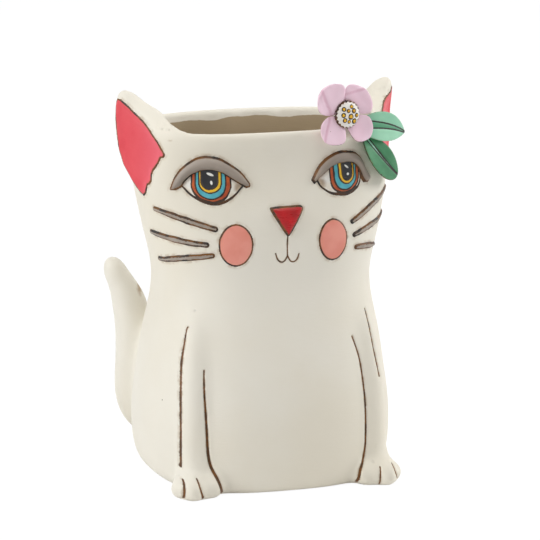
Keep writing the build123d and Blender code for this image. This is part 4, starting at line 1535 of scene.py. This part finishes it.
def makeLeaf(name, settings, paint):
    here = settings[name]
    halfWidth = here["halfWidth"]
    piece, share, ring, turn = ballPiece(name + "Leaf", 64, 52)
    facing = math.radians(settings["facing"])
    facing = np.array((math.sin(facing), -math.cos(facing), 0))
    along = (1 - np.cos(math.pi * share)) / 2
    isFront = np.sin(turn) > 0
    middle = arcThrough(here["line"], along)
    forward = arcThrough(here["line"], along + 0.01) - arcThrough(here["line"], along - 0.01)
    forward /= np.linalg.norm(forward, axis=1, keepdims=True)
    across = np.cross(np.broadcast_to(facing, forward.shape), forward)
    across /= np.linalg.norm(across, axis=1, keepdims=True)
    faceUp = np.cross(forward, across)
    width = halfWidth * np.sin(math.pi * along ** here["peak"]) ** here["blunt"]
    width = width * np.clip(ring * 2.0, 0, 1) + 0.01
    side = np.cos(turn) * width
    # two creases beside the painted rib, which narrows towards the tip
    root, tip = here["rib"]
    ribCentre = here["ribShift"] * halfWidth * np.sin(math.pi * along)
    ribGap = abs(side - ribCentre) - halfWidth * (root * (1 - along) + tip)
    crease = settings["crease"] * np.exp(-(ribGap / 0.55) ** 2)
    crease = crease * smoothStep(0.02, 0.1, along) * (1 - smoothStep(0.93, 0.99, along))
    lift = bladeLift(turn, along, ring, settings["halfThickness"], settings["thinShares"])
    lift = lift + settings["cup"] * (side / halfWidth) ** 2 - np.where(isFront, crease, 0)
    setPoints(piece, (middle + across * side[:, None] + faceUp * lift[:, None]) * mm)
    rim = abs(np.sin(turn) + 0.42) * 1.9 + 0.05  # a brown line round the edge and its back
    setAttribute(piece, "edgeGap", np.where(isFront, np.maximum(width - abs(side), 0) + 0.1, rim))
    setAttribute(piece, "ribGap", np.where(isFront, ribGap, clearGap))
    turnOutwards(piece)
    bpy.ops.object.shade_smooth()
    finishPiece(piece, name + "_leaf", paint)


def ribPaint(colour):
    def paint(tree, place, base):
        gap = swingGap(tree, place, readAttribute(tree, "ribGap"), 500.0, 0.3)
        base = mixColour(tree, rangeNode(tree, gap, -0.1, 0.1, 1.0, 0.0), base, fromScreen(*colour))
        line = rangeNode(tree, mathNode(tree, "ABSOLUTE", gap), 0.32, 0.54, 1.0, 0.0)
        return mixColour(tree, line, base, blackInk)
    return paint


mintPaint = makePaint(
    "mintPaint", (160, 217, 186), (142, 204, 172), inkWidth=0.16, gloss=0.50, cloudSize=60, ragged=0.9,
    extra=ribPaint((86, 158, 120)))
greenPaint = makePaint(
    "greenPaint", (68, 140, 96), (52, 122, 80), inkWidth=0.34, gloss=0.50, cloudSize=60, ragged=0.9,
    extra=ribPaint((152, 214, 186)))
makeLeaf("light", leafSettings, mintPaint)
makeLeaf("dark", leafSettings, greenPaint)
print("leaves are made")


# Soft plug in the drain hole: the solid keeps its shape and gets its rubber

plugSettings = {"dark": (52, 52, 52), "worn": (66, 64, 62), "cloudSize": 140.0, "gloss": (0.62, 0.75),
                "bump": (0.15, 0.0002)}


def makePlugRubber(settings):
    material, tree, shader, place = startMaterial("plugRubber")
    mottle = placeGroup(tree, mottleGroup, place, Size=settings["cloudSize"])
    cloud = mottle.outputs["Cloud"]
    colour = mixColour(tree, cloud, fromScreen(*settings["dark"]), fromScreen(*settings["worn"]))
    tree.links.new(colour, shader.inputs["Base Color"])
    tree.links.new(rangeNode(tree, cloud, 0.0, 1.0, *settings["gloss"]), shader.inputs["Roughness"])
    bumpNode(tree, shader, mottle.outputs["Grain"], *settings["bump"])
    return material


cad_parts["drain_plug"].material_slots[0].material = makePlugRubber(plugSettings)
print("plug has its rubber")


# How far each point of the body lies from the pieces set on it, for the brown wash round them

washSettings = {"reach": 4.0, "leafStandOff": 1.9}


def trimGap(body, pieces, settings):
    points = getPoints(body)
    reach = settings["reach"] * mm
    best = np.full(len(points), lineSettings["farGap"])
    for piece in pieces:
        own = getPoints(piece)
        low, high = own.min(axis=0) - reach, own.max(axis=0) + reach
        near = np.flatnonzero(((points > low) & (points < high)).all(axis=1))
        tree = surfaceTree(piece)
        isClear = "Leaf" in piece.name or "petal" in piece.name  # these stand clear of the body
        standOff = settings["leafStandOff"] if isClear else 0.0
        for i in near:
            found = tree.find_nearest(Vector(points[i]), reach)
            if found[0] is not None:
                best[i] = min(best[i], found[3] / mm - standOff)
    return best


setAttribute(body, "trimGap", trimGap(body, trimPieces, washSettings))
print("wash round the pieces is set")


print("scene is built")
